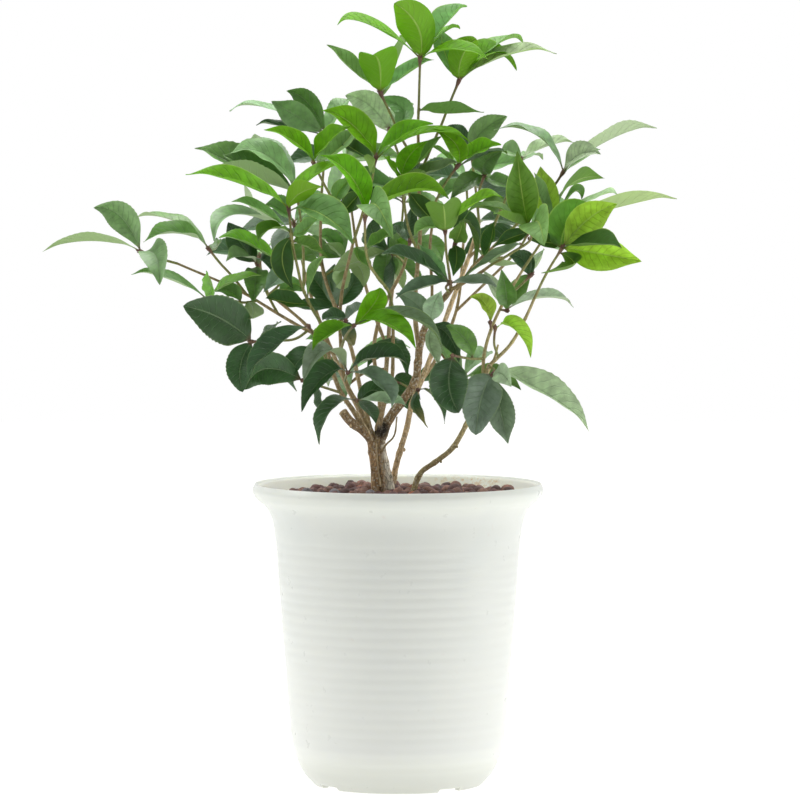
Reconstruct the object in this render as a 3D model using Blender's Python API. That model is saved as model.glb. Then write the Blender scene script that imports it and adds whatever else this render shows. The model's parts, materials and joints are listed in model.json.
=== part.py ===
"""A young osmanthus shrub in a tall white plastic pot.

Metres, +Z up. The origin is the middle of the pot's foot, on the ground. The front is -Y.

The plant is drawn from a front view in which 1 pixel is 1 mm at the pot's axis. Its stems and leaves are given by
where they are seen in that view, with a depth in millimetres: less than 0 is nearer than the pot's axis.
"""

import math
import random

import bmesh
import bpy
import numpy as np
from mathutils.bvhtree import BVHTree
from mathutils.geometry import delaunay_2d_cdt

MM = 0.001
GAP = 0.3 * MM

# The front view: the column of the pot's axis, the row of the ground, and the eye's distance and height.
VIEW_AXIS = 398
VIEW_GROUND = 784
EYE_DISTANCE = 4.9
EYE_HEIGHT = 0.672
EYE = np.array([0, -EYE_DISTANCE, EYE_HEIGHT])
UP = np.array([0, 0, 1.0])

# Pot, in millimetres: radius and height along the outside, from the foot up to the lip, then down the inside.
POT_OUTSIDE = [(84, 0), (95.5, 13), (102.5, 29), (106.5, 44), (109.5, 80), (123, 250), (126.5, 268),
               (132.5, 279), (143, 288.5), (145.5, 294), (143, 300.5)]
POT_INSIDE = [(138, 298), (129, 282), (122.5, 269), (119, 250), (102.5, 44), (84, 17)]
POT_SIDES = 32
FLOOR_TOP = 17
FLOOR_UNDER = 12.5
FOOT_INNER_RADIUS = 78
MIDDLE_FOOT_RADIUS = 15
FOOT_NOTCH_WIDTH = 26
FOOT_NOTCH_HEIGHT = 3.5
FOOT_NOTCH_REACH = (72, 98)
FOOT_NOTCH_TURN = 60
FOOT_NOTCHES = 4
DRAIN_HOLES = 5
DRAIN_RADIUS = 6
DRAIN_CIRCLE = 52
DRAIN_SIDES = 8

# Soil and the clay pebbles on it, in millimetres.
SOIL_TOP = 281
SOIL_OUTLINE = [(83, 17.5), (101.8, 44.5), (118.5, 250.5), (121.8, 269.5), (127.6, SOIL_TOP)]
HOLE_GAP = 0.5 * MM
PEBBLE_SPACING = 20
PEBBLE_VALLEY = 285
PEBBLE_HEIGHT = 7.5
PEBBLE_MOUND = 6
PEBBLE_MOUND_SPREAD = 45
PEBBLE_EDGE_RADIUS = 129.5
PEBBLE_FOOT_RADIUS = 127.6
PEBBLE_EDGE_MARGIN = 4
PEBBLE_STEM_MARGIN = 3.5
PEBBLE_UNEVEN = (0.75, 1.1)
PEBBLE_ROWS = 10
PEBBLE_SEED = 3
FLAT_TOLERANCE = 1e-7

# Stems: sides of each tube, and the short bare stub that every shoot stands on.
STEM_SIDES = 6
TRUNK_SIDES = 10
THIN_STEM = 2.3
THIN_SIDES = 4
TWIG_SIDES = 3
STUB_LENGTH = 9 * MM
STUB_ROOT = 1 * MM
STUB_ROOT_RADIUS = 1.45
TWIG_RADIUS = 1.25
BUD_RADIUS = 1.7
BUD_LENGTH = 4.5
BUD_TIP_RADIUS = 0.5
LEAF_PAIR_SPACING = 3.2
LEAF_FOOT_MARGINS = (1.5, 0.5)

# Leaves: a flat blade whose halves rise a little from the midrib.
BLADE_THICKNESS = 0.9 * MM
BLADE_FOLD = 0.2
BLADE_BREADTH = 0.36
BLADE_BREADTH_LIMITS = (15 * MM, 35 * MM)
LARGE_STATIONS = ((0.27, 0.76), (0.52, 1.0), (0.79, 0.68))
SMALL_STATIONS = ((0.35, 0.96), (0.71, 0.88))
LARGE_LEAF = 27 * MM
OUTWARD_LEAN = 0.3
OUTER_START = (0.15, 0.45)
CLEAR_THICKNESS = 3.4 * MM
SEARCH_STEPS = (0, 7, -7, 14, -14, 22, -22, 30, -30, 40, -40, 52, -52)
SEARCH_SIDE_STEPS = (0, 4, -4)
SEARCH_LENGTHS = (1.0, 0.88, 0.76)

# Every stem in one list is one piece of wood. A point is (column, row, depth, radius), from the soil outwards.
WOOD = {
    "trunk": [
        [(381.5, 568, 0, 10.4), (381.5, 485, 0, 10.3), (380, 462, 0, 8.8), (377.5, 447, 0, 8.0), (376, 434, 0, 6.4)],
        # The left limb, cut back to a stub.
        [(375, 446, -1, 4.6), (366, 432, -5, 4.8), (353, 423, -10, 4.6), (343, 411, -17, 4.3)],
        # The right limb, up to the fork in the middle of the crown.
        [(378, 446, 0, 5.6), (388, 420, -4, 5.0), (407, 394, -7, 4.2), (414, 382, -9, 4.0), (420, 345, -16, 3.6),
         (427, 321, -21, 3.3), (451, 289, -34, 2.6)],
        # From the fork to the right front and to the middle front.
        [(451, 289, -34, 2.2), (476, 275, -47, 1.9), (490, 265, -58, 1.6)],
        [(451, 289, -34, 1.9), (449, 272, -50, 1.6)],
        # The leader, to the top of the crown.
        [(419, 349, -15, 2.8), (415, 313, -6, 2.6), (417, 272, 4, 2.4), (420, 232, 8, 2.2), (419, 190, 8, 1.9),
         (418, 125, 5, 1.6)],
        [(431, 316, -23, 1.8), (432, 290, -22, 1.7), (430, 245, -20, 1.6), (436, 200, -22, 1.5)],
        # Thin stems that fan up from the trunk's head.
        [(374, 444, 2, 3.4), (352, 408, -6, 2.8), (341, 392, -14, 2.6), (333, 372, -24, 2.4), (319, 335, -42, 2.0),
         (308, 330, -46, 1.9), (278, 313, -51, 1.7), (247, 294, -53, 1.5), (178, 263, -51, 1.3)],
        [(326, 352, -36, 2.0), (323, 336, -52, 1.8), (321, 323, -60, 1.6)],
        [(375, 442, 2, 3.0), (360, 408, 2, 2.6), (344, 376, -6, 2.3), (341, 345, -9, 2.2), (341, 300, -8, 1.9),
         (353, 243, -14, 1.6)],
        [(376, 440, 4, 3.0), (380, 400, 16, 2.5), (374, 345, 28, 2.2), (381, 313, 32, 2.1), (405, 262, 36, 1.8),
         (412, 205, 30, 1.5)],
        [(377, 442, -4, 2.8), (384, 405, -22, 2.3), (391, 384, -34, 2.1), (393, 345, -46, 2.0), (393, 308, -58, 1.7)],
        [(373, 438, 5, 2.8), (362, 395, 26, 2.5), (352, 350, 44, 2.3), (322, 262, 62, 1.9), (321, 205, 60, 1.5)],
        [(322, 262, 62, 1.6), (310, 268, 48, 1.5), (304, 285, 34, 1.3)],
        # Back stems.
        [(374, 436, 6, 3.2), (352, 395, 44, 2.8), (332, 350, 80, 2.5), (314, 304, 108, 2.1), (308, 284, 122, 1.7)],
        [(377, 436, 6, 3.2), (384, 392, 50, 2.8), (388, 345, 94, 2.5), (392, 290, 126, 2.2), (398, 250, 142, 1.7)],
        [(388, 349, 91, 2.1), (370, 300, 112, 1.9), (356, 240, 128, 1.6), (352, 212, 132, 1.4)],
        [(333, 353, 78, 2.0), (300, 318, 84, 1.8), (268, 292, 86, 1.5)],
        [(386, 368, 74, 2.0), (364, 372, 84, 1.8), (348, 384, 92, 1.5)],
        # A dead twig low on the trunk.
        [(381, 452, -4, 1.6), (386, 444, -10, 1.1), (393, 437, -12, 1.0), (397, 416, -14, 0.8)],
    ],
    "second_stem": [
        [(392.5, 568, 22, 3.1), (392.5, 484, 22, 3.1), (394, 474, 22, 2.9), (407, 426, 26, 2.5), (411, 406, 30, 2.5),
         (420, 383, 36, 2.4), (441, 330, 53, 2.2), (456, 290, 62, 2.1), (468, 258, 66, 1.9), (479, 222, 67, 1.5)],
        [(456, 290, 62, 1.8), (474, 264, 46, 1.7), (493, 246, 28, 1.5)],
        [(468, 258, 66, 1.6), (484, 240, 62, 1.5), (492, 228, 58, 1.3)],
        [(420, 383, 36, 1.9), (440, 350, 78, 2.0), (456, 310, 108, 1.8), (464, 232, 134, 1.4)],
        [(456, 310, 108, 1.7), (506, 262, 110, 1.4)],
        [(440, 350, 78, 1.7), (448, 362, 88, 1.6), (458, 376, 96, 1.4)],
    ],
    "third_stem": [
        [(414.5, 568, -16, 2.9), (414.5, 487, -16, 2.9), (420, 473, -18, 2.6), (436, 461, -26, 2.5), (451, 449, -33, 2.5),
         (462, 432, -39, 2.4), (469, 418, -42, 2.3), (478, 395, -44, 2.3), (484, 378, -44, 2.2), (490, 364, -44, 2.5)],
        [(490, 364, -44, 2.1), (510, 344, -46, 1.9), (525, 318, -48, 1.8), (534, 298, -50, 1.6)],
        [(483, 380, -44, 1.9), (484, 354, -42, 1.9), (492, 326, -38, 1.8), (507, 295, -34, 1.6), (522, 270, -28, 1.5)],
        # A dead stub.
        [(491, 364, -44, 1.6), (494, 358, -38, 1.3), (498, 344, -34, 1.1)],
    ],
}

# Shoots: what carries each, how old its leaves are, and its twigs. A twig is a route of (column, row, depth), and
# leaves: (share of the twig's length, middle column and row, tip column and row, reach, seen width).
# Reach is how much deeper the tip lies than the leaf's foot. Seen width is less than 0 where the underside shows.
YOUNG, MATURE = "young leaf", "mature leaf"
SHOOTS = {
    "shoot_crown": ("trunk", YOUNG, [
        ([(418, 125, 5), (419, 95, 3), (420, 58, 0)], [
            (1, 417, 28, 394, 3, -30, -36), (1, 370, 21, 336, 24, -12, 8), (1, 451, 45, 489, 58, -35, 9),
            (1, 440, 18, 467, 5, 35, 18), (1, 438, 32, 460, 28, 42, 9), (0.2, 446, 107, 484, 111, 0, -12)])]),
    "shoot_crown_left": ("trunk", YOUNG, [
        ([(418, 165, 7), (400, 135, 8), (391, 115, 8), (380, 92, 5)], [
            (1, 354, 64, 328, 44, -10, 13), (1, 379, 66, 373, 54, -48, -38), (1, 406, 68, 434, 59, 10, 11),
            (1, 394, 58, 406, 35, 40, -8), (1, 381, 75, 383, 62, 60, 20)])]),
    "shoot_crown_right": ("trunk", YOUNG, [
        ([(419, 176, 8), (432, 145, 12), (441, 125, 14), (450, 102, 12), (459, 80, 10)], [
            (1, 448, 53, 440, 29, -5, 22), (1, 462, 57, 476, 39, -42, -28), (1, 502, 51, 557, 50, 12, 11),
            (1, 486, 46, 517, 70, 26, 16), (1, 493, 41, 524, 41, 48, 10)])]),
    "shoot_high_left": ("trunk", MATURE, [
        ([(321, 205, 60), (324, 165, 50), (326, 133, 38)], [
            (1, 308, 102, 287, 91, -5, 22), (1, 294, 113, 273, 102, -20, 26), (1, 270, 105, 229, 109, 22, 6),
            (1, 285, 123, 256, 122, -12, 7), (1, 335, 108, 351, 99, 32, 16)])]),
    "shoot_high_middle": ("trunk", MATURE, [
        ([(412, 205, 30), (402, 165, 28), (390, 130, 25)], [
            (1, 368, 104, 346, 96, -14, 28), (1, 404, 111, 379, 98, 10, 20), (1, 367, 112, 357, 95, 26, -9),
            (1, 398, 112, 412, 101, 50, 18)])]),
    "shoot_left_of_middle": ("trunk", YOUNG, [
        ([(353, 243, -14), (341, 213, -26), (326, 187, -38), (314, 163, -50)], [
            (1, 299, 139, 265, 128, -22, 14), (1, 323, 138, 350, 126, -22, 14), (1, 337, 143, 358, 127, 34, 18),
            (0.42, 338, 192, 354, 176, 20, 16)])]),
    "shoot_left_fan": ("trunk", MATURE, [
        ([(304, 285, 34), (303, 240, 30), (300, 212, 24), (296, 190, 16)], [
            (1, 245, 158, 195, 146, 30, 26), (1, 270, 150, 230, 151, -8, 20), (1, 258, 163, 225, 151, -38, 20),
            (1, 250, 170, 209, 165, -64, -18), (1, 277, 148, 251, 137, 60, 14), (0.5, 258, 208, 247, 181, 10, -8),
            (0.5, 240, 209, 212, 238, -46, 10)])]),
    "shoot_front_left": ("trunk", YOUNG, [
        ([(321, 323, -60), (308, 300, -68), (302, 285, -75), (298, 268, -82), (294, 250, -88), (291, 228, -93),
          (289, 208, -96)], [
            (1, 243, 177, 186, 172, -10, 14), (1, 298, 192, 324, 186, -38, -20), (1, 308, 174, 352, 161, 16, 11),
            (1, 325, 207, 353, 243, -48, 26), (0.84, 262, 206, 232, 201, -32, 8), (0.84, 270, 224, 258, 241, -36, 10),
            (0.84, 283, 258, 293, 288, 12, 22), (0.84, 305, 226, 320, 215, -22, 12),
            (0.35, 293, 283, 281, 297, -42, 16), (0.2, 285, 297, 267, 297, -28, 16)])]),
    "shoot_far_left": ("trunk", MATURE, [
        ([(178, 263, -51), (160, 258, -48), (141, 251, -45)], [
            (1, 120, 216, 95, 208, -25, 28), (1, 93, 236, 43, 250, 5, -8), (1, 157, 256, 160, 284, -48, 28),
            (1, 156, 262, 165, 276, 40, 16)])]),
    "shoot_left_arm_up": ("trunk", MATURE, [
        ([(247, 294, -53), (232, 275, -42), (220, 262, -32), (209, 248, -22)], [
            (1, 180, 226, 143, 240, -25, 13), (1, 172, 215, 129, 219, 25, 8), (1, 214, 246, 217, 237, 34, 8)])]),
    "shoot_left_arm_low": ("trunk", MATURE, [
        ([(258, 300, -53), (245, 302, -62), (225, 299, -64), (206, 298, -66)], [
            (1, 170, 274, 131, 271, -15, 8), (1, 208, 285, 206, 271, -38, 12), (1, 229, 279, 262, 274, -14, 8),
            (0.3, 232, 289, 214, 290, -38, 14), (0.2, 253, 308, 252, 319, -34, -20)])]),
    "shoot_left_middle": ("trunk", MATURE, [
        ([(278, 313, -51), (266, 290, -42), (257, 262, -30)], [
            (1, 240, 241, 229, 222, -20, 27), (1, 243, 251, 227, 259, -32, 10), (1, 267, 256, 277, 276, -32, 12),
            (1, 256, 281, 253, 301, -38, 24)]),
        ([(268, 295, -44), (280, 283, -50), (285, 269, -55)], [
            (1, 252, 239, 219, 237, -22, 12), (1, 275, 278, 264, 291, -30, 18)])]),
    "shoot_low_left": ("trunk", MATURE, [
        ([(308, 330, -46), (296, 338, -54), (276, 340, -64), (252, 341, -74)], [
            (1, 219, 318, 184, 306, -10, 45), (1, 241, 365, 243, 391, -18, 28), (0.6, 268, 331, 281, 320, 40, 12)])]),
    "shoot_low_left_inner": ("trunk", MATURE, [
        ([(341, 392, -14), (322, 386, -44), (303, 380, -66)], [
            (1, 266, 369, 246, 389, -14, 32), (0.6, 318, 398, 321, 413, -5, 8)])]),
    "shoot_low_left_front": ("trunk", MATURE, [
        ([(333, 372, -24), (322, 350, -62), (309, 326, -92)], [
            (1, 271, 339, 245, 376, -22, 18), (0.5, 292, 362, 296, 391, -10, 18)])]),
    "shoot_middle": ("trunk", YOUNG, [
        ([(353, 243, -14), (362, 215, -28), (372, 180, -44), (376, 157, -50)], [
            (1, 357, 123, 323, 110, -18, 24), (1, 399, 130, 433, 123, -12, 14), (1, 425, 129, 474, 142, 10, 8),
            (1, 371, 160, 370, 173, -48, -14), (1, 357, 146, 339, 141, 28, 14)])]),
    "shoot_front_middle": ("trunk", YOUNG, [
        ([(393, 308, -58), (388, 290, -74), (378, 277, -88), (370, 265, -98), (366, 250, -106), (365, 232, -115),
          (365, 217, -122)], [
            (1, 377, 203, 393, 239, -55, 28), (1, 357, 176, 321, 155, -16, 22), (1, 405, 184, 450, 197, -16, 18)])]),
    "shoot_middle_right": ("trunk", YOUNG, [
        ([(418, 252, 6), (408, 226, -8), (404, 200, -18), (402, 177, -25)], [
            (1, 409, 157, 427, 141, -24, 20), (1, 394, 166, 385, 155, -34, 6), (1, 420, 153, 441, 135, 18, 12),
            (1, 432, 166, 459, 160, -14, 10), (1, 428, 158, 456, 155, 16, 6), (1, 416, 171, 429, 161, -38, -12)])]),
    "shoot_right_of_middle": ("trunk", YOUNG, [
        ([(436, 200, -22), (445, 183, -24), (458, 165, -25)], [
            (1, 456, 145, 434, 129, -22, 18), (1, 476, 147, 501, 144, -26, 14), (1, 444, 151, 426, 144, -28, 5),
            (1, 488, 151, 508, 152, 20, 6)])]),
    "shoot_high_right": ("second_stem", MATURE, [
        ([(479, 222, 67), (475, 185, 62), (470, 148, 55)], [
            (1, 483, 129, 507, 116, 5, 24), (1, 460, 133, 446, 126, 18, 14), (1, 476, 138, 492, 132, 56, 18)])]),
    "shoot_right_inner": ("second_stem", MATURE, [
        ([(474, 264, 46), (478, 225, 36), (479, 190, 24), (484, 175, 16)], [
            (1, 466, 181, 450, 200, -32, 18), (1, 485, 162, 501, 152, -36, 22), (1, 500, 180, 516, 191, -32, 14)])]),
    "shoot_right_high_back": ("second_stem", MATURE, [
        ([(492, 228, 58), (508, 192, 52), (520, 160, 46)], [
            (1, 545, 141, 576, 141, 10, 10), (1, 512, 148, 498, 152, 40, 16), (1, 531, 152, 543, 158, 40, 6)])]),
    "shoot_right_top": ("second_stem", MATURE, [
        ([(493, 246, 28), (519, 221, 26), (539, 200, 26), (553, 186, 26), (563, 171, 26)], [
            (1, 538, 131, 493, 128, 22, 9), (1, 578, 150, 600, 154, -38, 18), (1, 583, 156, 599, 148, -22, 5),
            (1, 606, 134, 656, 125, 12, -11)])]),
    "shoot_right_front": ("trunk", YOUNG, [
        ([(490, 265, -58), (512, 252, -76), (531, 236, -90), (528, 227, -95)], [
            (1, 521, 190, 517, 152, -22, 31), (1, 538, 222, 543, 244, -62, 34), (1, 511, 215, 493, 212, -42, -9),
            (1, 492, 203, 461, 218, -30, 5), (1, 512, 236, 494, 246, -16, 14), (0.7, 500, 250, 463, 275, 8, 8)]),
        ([(503, 257, -69), (494, 257, -70), (484, 258, -66)], [(1, 487, 239, 494, 221, -8, 12)])]),
    "shoot_right": ("third_stem", YOUNG, [
        ([(534, 298, -50), (545, 275, -62), (562, 247, -76)], [
            (1, 589, 218, 616, 204, -30, 32), (1, 598, 252, 641, 261, -10, 34), (1, 592, 237, 621, 247, -38, 15),
            (1, 568, 222, 594, 211, -48, 40), (1, 570, 262, 541, 272, -34, 12)])]),
    "shoot_right_behind": ("third_stem", YOUNG, [
        ([(522, 270, -28), (540, 243, -18), (556, 220, -10)], [
            (1, 546, 195, 540, 166, 14, 26), (1, 566, 180, 601, 174, 34, -6), (1, 571, 190, 582, 199, -20, 5),
            (1, 543, 192, 535, 172, 42, 10), (1, 620, 200, 676, 195, 20, -13), (1, 592, 196, 617, 193, -32, 5)])]),
    "shoot_right_small": ("third_stem", MATURE, [
        ([(507, 295, -34), (520, 285, -26), (531, 274, -18)], [
            (1, 527, 262, 521, 249, -14, 16), (1, 519, 285, 512, 305, 20, 18)])]),
    "shoot_front_right": ("trunk", YOUNG, [
        ([(449, 272, -50), (446, 250, -72), (445, 230, -92)], [
            (1, 444, 217, 443, 203, -52, -34), (1, 474, 198, 503, 196, -12, 9), (1, 425, 209, 409, 192, 22, 20),
            (1, 428, 222, 414, 235, -22, 12)]),
        ([(447, 262, -60), (455, 243, -66)], [
            (1, 456, 258, 453, 275, -32, 17), (1, 459, 232, 463, 221, -34, 18), (1, 470, 217, 478, 262, -20, 12)])]),
    "shoot_fork": ("trunk", MATURE, [
        ([(449, 292, -33), (446, 286, -48), (450, 282, -56)], [
            (1, 417, 255, 380, 251, -22, 12), (1, 424, 281, 395, 297, -18, 12), (1, 477, 278, 498, 287, -12, 10),
            (1, 436, 262, 422, 240, 36, 14)])]),
    "shoot_right_low": ("third_stem", MATURE, [
        ([(500, 309, -36), (507, 310, -48)], [
            (1, 497, 289, 482, 268, -20, 12), (1, 506, 290, 501, 269, 8, 20), (1, 545, 292, 575, 305, 6, 9)])]),
    "shoot_right_bright": ("third_stem", YOUNG, [
        ([(491, 330, -38), (490, 322, -50)], [(1, 487, 302, 470, 296, -12, 14)])]),
    "shoot_right_hanging": ("third_stem", YOUNG, [
        ([(498, 356, -45), (494, 342, -56), (495, 328, -60)], [(1, 517, 323, 532, 357, -15, 13)])]),
    "shoot_low_middle": ("third_stem", MATURE, [
        ([(484, 358, -42), (470, 358, -66), (453, 355, -86)], [
            (1, 449, 385, 459, 412, -16, 38), (0.3, 464, 337, 446, 325, -10, 20)])]),
    "shoot_low_right": ("third_stem", MATURE, [
        ([(489, 366, -44), (494, 369, -62), (492, 374, -76)], [
            (0.6, 549, 384, 591, 430, -10, 22), (1, 503, 374, 511, 386, -36, 20), (1, 500, 412, 508, 443, -14, 27),
            (1, 481, 398, 476, 434, -24, 38)])]),
    "shoot_centre": ("trunk", MATURE, [
        ([(425, 328, -20), (430, 324, -46)], [
            (1, 449, 335, 459, 362, -24, 20), (1, 434, 345, 440, 366, -34, 14), (1, 417, 303, 396, 293, -14, 20),
            (1, 434, 303, 441, 291, -30, 20)])]),
    "shoot_centre_left": ("trunk", YOUNG, [
        ([(341, 348, -9), (346, 335, -44), (354, 325, -80)], [
            (1, 387, 316, 417, 348, -32, 16), (1, 328, 328, 312, 349, -28, 14), (1, 374, 303, 380, 287, -34, 22),
            (1, 410, 312, 447, 351, 26, 12)])]),
    "shoot_low_front": ("trunk", MATURE, [
        ([(345, 380, -5), (346, 376, -40), (348, 372, -72)], [
            (1, 321, 371, 301, 411, -22, 20), (1, 382, 377, 393, 407, -26, 16), (1, 378, 349, 408, 363, -8, 15),
            (1, 325, 344, 303, 379, -6, 12)])]),
    "shoot_lowest": ("trunk", MATURE, [
        ([(360, 408, 2), (358, 403, -32), (357, 400, -62)], [
            (1, 327, 405, 318, 444, -20, 14), (1, 370, 408, 376, 423, -36, 13), (1, 385, 396, 407, 405, -14, 10),
            (0.6, 374, 390, 388, 403, 5, 20)])]),
    "shoot_low_centre": ("second_stem", MATURE, [
        ([(415, 395, 33), (404, 384, 52), (394, 380, 62)], [
            (1, 405, 379, 421, 399, 10, 14), (1, 404, 396, 425, 417, -24, 16)])]),
    "shoot_low_brown": ("second_stem", MATURE, [
        ([(417, 390, 34), (416, 391, 16), (418, 389, 4)], [
            (1, 436, 394, 446, 423, -20, 6), (1, 417, 407, 429, 426, -16, 10)])]),
    "shoot_centre_hanging": ("trunk", MATURE, [
        ([(388, 345, 94), (391, 339, 84), (393, 336, 76)], [
            (1, 402, 351, 409, 377, -20, 14), (1, 378, 350, 367, 366, -14, 14)])]),
    "shoot_inner_dark": ("trunk", MATURE, [
        ([(342, 320, 50), (339, 310, 66), (336, 306, 74)], [
            (1, 321, 287, 309, 270, 16, 24), (1, 350, 288, 361, 268, 22, 22)])]),
    "shoot_inner_pale": ("trunk", MATURE, [
        ([(326, 274, 60), (338, 266, 74), (346, 256, 86)], [
            (1, 343, 272, 334, 288, -24, -20), (1, 317, 246, 309, 233, 14, 20), (1, 340, 240, 345, 228, 34, 18),
            (1, 360, 266, 364, 286, 10, -18)])]),
    "shoot_inner_right": ("trunk", MATURE, [
        ([(405, 262, 36), (398, 256, 60), (388, 250, 82)], [
            (1, 385, 268, 386, 285, -24, 26), (1, 397, 235, 402, 220, 16, 20), (1, 374, 240, 362, 232, 24, 18)])]),
    "shoot_inner_middle": ("trunk", MATURE, [
        ([(405, 262, 36), (408, 251, 24), (410, 240, 14)], [
            (1, 411, 224, 412, 207, 5, 14), (1, 423, 226, 435, 211, 16, -12), (1, 431, 243, 443, 261, 22, 20),
            (1, 403, 232, 394, 224, 20, 9), (1, 404, 241, 397, 238, -14, 9)])]),
    "shoot_inner_low": ("trunk", MATURE, [
        ([(341, 333, -9), (344, 326, -24), (346, 320, -36)], [
            (1, 334, 313, 322, 319, 12, 12), (1, 352, 308, 363, 301, 16, 10), (1, 349, 331, 354, 345, 12, 14),
            (1, 325, 330, 305, 338, 20, 14)])]),
}

# Leaves deep in the crown, which find their room after the others: for each shoot, more leaves on its first twig.
INNER_LEAVES = {
    "shoot_left_of_middle": [(0.35, 350, 204, 362, 191, 26, 18)],
    "shoot_front_left": [(0.84, 309, 241, 328, 257, 34, 11), (0.3, 313, 268, 326, 256, 14, 8)],
    "shoot_front_middle": [(0.5, 363, 257, 357, 246, 18, 10), (0.72, 377, 237, 393, 229, 26, 11)],
    "shoot_inner_dark": [(1, 334, 283, 339, 263, -8, 18), (1, 314, 303, 292, 305, 8, 12)],
    "shoot_inner_pale": [(1, 337, 246, 325, 243, -22, -10), (1, 332, 236, 318, 240, 10, 14)],
    "shoot_inner_right": [(1, 356, 257, 331, 269, -22, -18), (1, 373, 228, 379, 215, -16, 16),
                          (1, 397, 240, 408, 232, -18, 13), (1, 399, 271, 404, 290, 16, -14),
                          (1, 411, 266, 422, 284, 28, 12), (1, 389, 276, 391, 294, -20, 12)],
    "shoot_right_front": [(0.9, 546, 240, 561, 243, 14, 14)],
    "shoot_right_small": [(1, 522, 259, 507, 254, -6, 15), (1, 536, 258, 543, 247, 16, 9)],
    "shoot_right_inner": [(0.15, 495, 260, 520, 261, 16, -8)],
}

# Shoots behind the crown: what carries each, its twig, and how many pairs of leaves stand round its end.
BACK_SHOOTS = {
    "shoot_back_left": ("trunk", [(308, 284, 122), (300, 250, 128), (294, 222, 130)], 3),
    "shoot_back_far_left": ("trunk", [(268, 292, 86), (262, 274, 92), (260, 256, 96)], 2),
    "shoot_back_high_left": ("trunk", [(352, 212, 132), (350, 188, 138), (346, 160, 138)], 3),
    "shoot_back_middle": ("trunk", [(398, 250, 142), (402, 220, 152), (404, 196, 156)], 3),
    "shoot_back_low": ("trunk", [(348, 384, 92), (346, 382, 104), (345, 376, 112)], 2),
    "shoot_back_right": ("second_stem", [(464, 232, 134), (467, 204, 138), (466, 180, 138)], 3),
    "shoot_back_far_right": ("second_stem", [(506, 262, 110), (520, 246, 114), (530, 228, 114)], 3),
    "shoot_back_low_right": ("second_stem", [(458, 376, 96), (462, 380, 106), (464, 376, 114)], 2),
}
BACK_LEAF = 74
BACK_LEAF_LEAN = 28
BACK_LEAF_DROOP = 0.24
BACK_LEAF_SEEN = 18
BACK_PAIR_DROOP = 22
BACK_LENGTH_UNEVEN = (0.8, 1.12)
BACK_TURN_UNEVEN = 0.3
BACK_LEAN_UNEVEN = 8
BACK_SEED = 7

SHARP_ANGLE = 40
COLOURS = {
    "pot": ((0.80, 0.82, 0.79), 0.35),
    "soil": ((0.035, 0.024, 0.018), 0.95),
    "clay": ((0.115, 0.052, 0.040), 0.8),
    "bark": ((0.27, 0.185, 0.11), 0.85),
    YOUNG: ((0.085, 0.27, 0.03), 0.42),
    MATURE: ((0.025, 0.105, 0.022), 0.38),
}


def clear_scene():
    for obj in list(bpy.data.objects):
        bpy.data.objects.remove(obj, do_unlink=True)


def material(name):
    made = bpy.data.materials.get(name)
    if made is None:
        colour, roughness = COLOURS[name]
        made = bpy.data.materials.new(name)
        made.use_nodes = True
        shader = made.node_tree.nodes["Principled BSDF"]
        shader.inputs["Base Color"].default_value = (*colour, 1)
        shader.inputs["Roughness"].default_value = roughness
        shader.inputs["Metallic"].default_value = 0
    return made


def add_object(name, points, faces, colour, smooth=True):
    """One named mesh object from points and faces, in place."""
    mesh = bpy.data.meshes.new(name)
    mesh.from_pydata([tuple(map(float, p)) for p in points], [], faces)
    mesh.validate()
    if smooth:
        mesh.shade_smooth()
        mesh.set_sharp_from_angle(angle=math.radians(SHARP_ANGLE))
    mesh.materials.append(material(colour))
    obj = bpy.data.objects.new(name, mesh)
    bpy.context.scene.collection.objects.link(obj)
    return obj


def apply_boolean(obj, others, operation):
    """Joins the other objects to this one, or cuts them from it, and removes them."""
    tools = bpy.data.collections.new(obj.name + "_tools")
    bpy.context.scene.collection.children.link(tools)
    for other in others:
        bpy.context.scene.collection.objects.unlink(other)
        tools.objects.link(other)
        other.hide_render = True
        other.display_type = "WIRE"
    modifier = obj.modifiers.new("Boolean", "BOOLEAN")
    modifier.operation = operation
    modifier.operand_type = "COLLECTION"
    modifier.collection = tools
    modifier.solver = "MANIFOLD"
    bpy.context.view_layer.update()
    result = bpy.data.meshes.new_from_object(obj.evaluated_get(bpy.context.evaluated_depsgraph_get()))
    obj.modifiers.clear()
    obj.data = result
    for other in others:
        bpy.data.objects.remove(other, do_unlink=True)
    bpy.data.collections.remove(tools)
    return obj


def unit(vector):
    return vector / np.linalg.norm(vector)


def sighted(column, row, depth):
    """The point that the front view shows at this column and row, this many millimetres behind the pot's axis."""
    share = 1 + depth * MM / EYE_DISTANCE
    across = (column - VIEW_AXIS) * MM
    height = (VIEW_GROUND - row) * MM
    return np.array([across * share, depth * MM, EYE_HEIGHT + (height - EYE_HEIGHT) * share])


def turned(outline, sides):
    """Points and faces of a closed outline of (radius, height) in millimetres, turned about the Z axis."""
    angles = [2 * math.pi * k / sides for k in range(sides)]
    points, rings, faces = [], [], []
    for radius, height in outline:
        start = len(points)
        if radius == 0:
            points.append((0, 0, height * MM))
            rings.append([start] * sides)
            continue
        points += [(radius * MM * math.cos(a), radius * MM * math.sin(a), height * MM) for a in angles]
        rings.append(list(range(start, start + sides)))
    for low, high in zip(rings, rings[1:]):
        for k in range(sides):
            n = (k + 1) % sides
            corners = [low[k], low[n], high[n], high[k]]
            faces.append(list(dict.fromkeys(corners)))
    return points, [face for face in faces if len(face) > 2]


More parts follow.
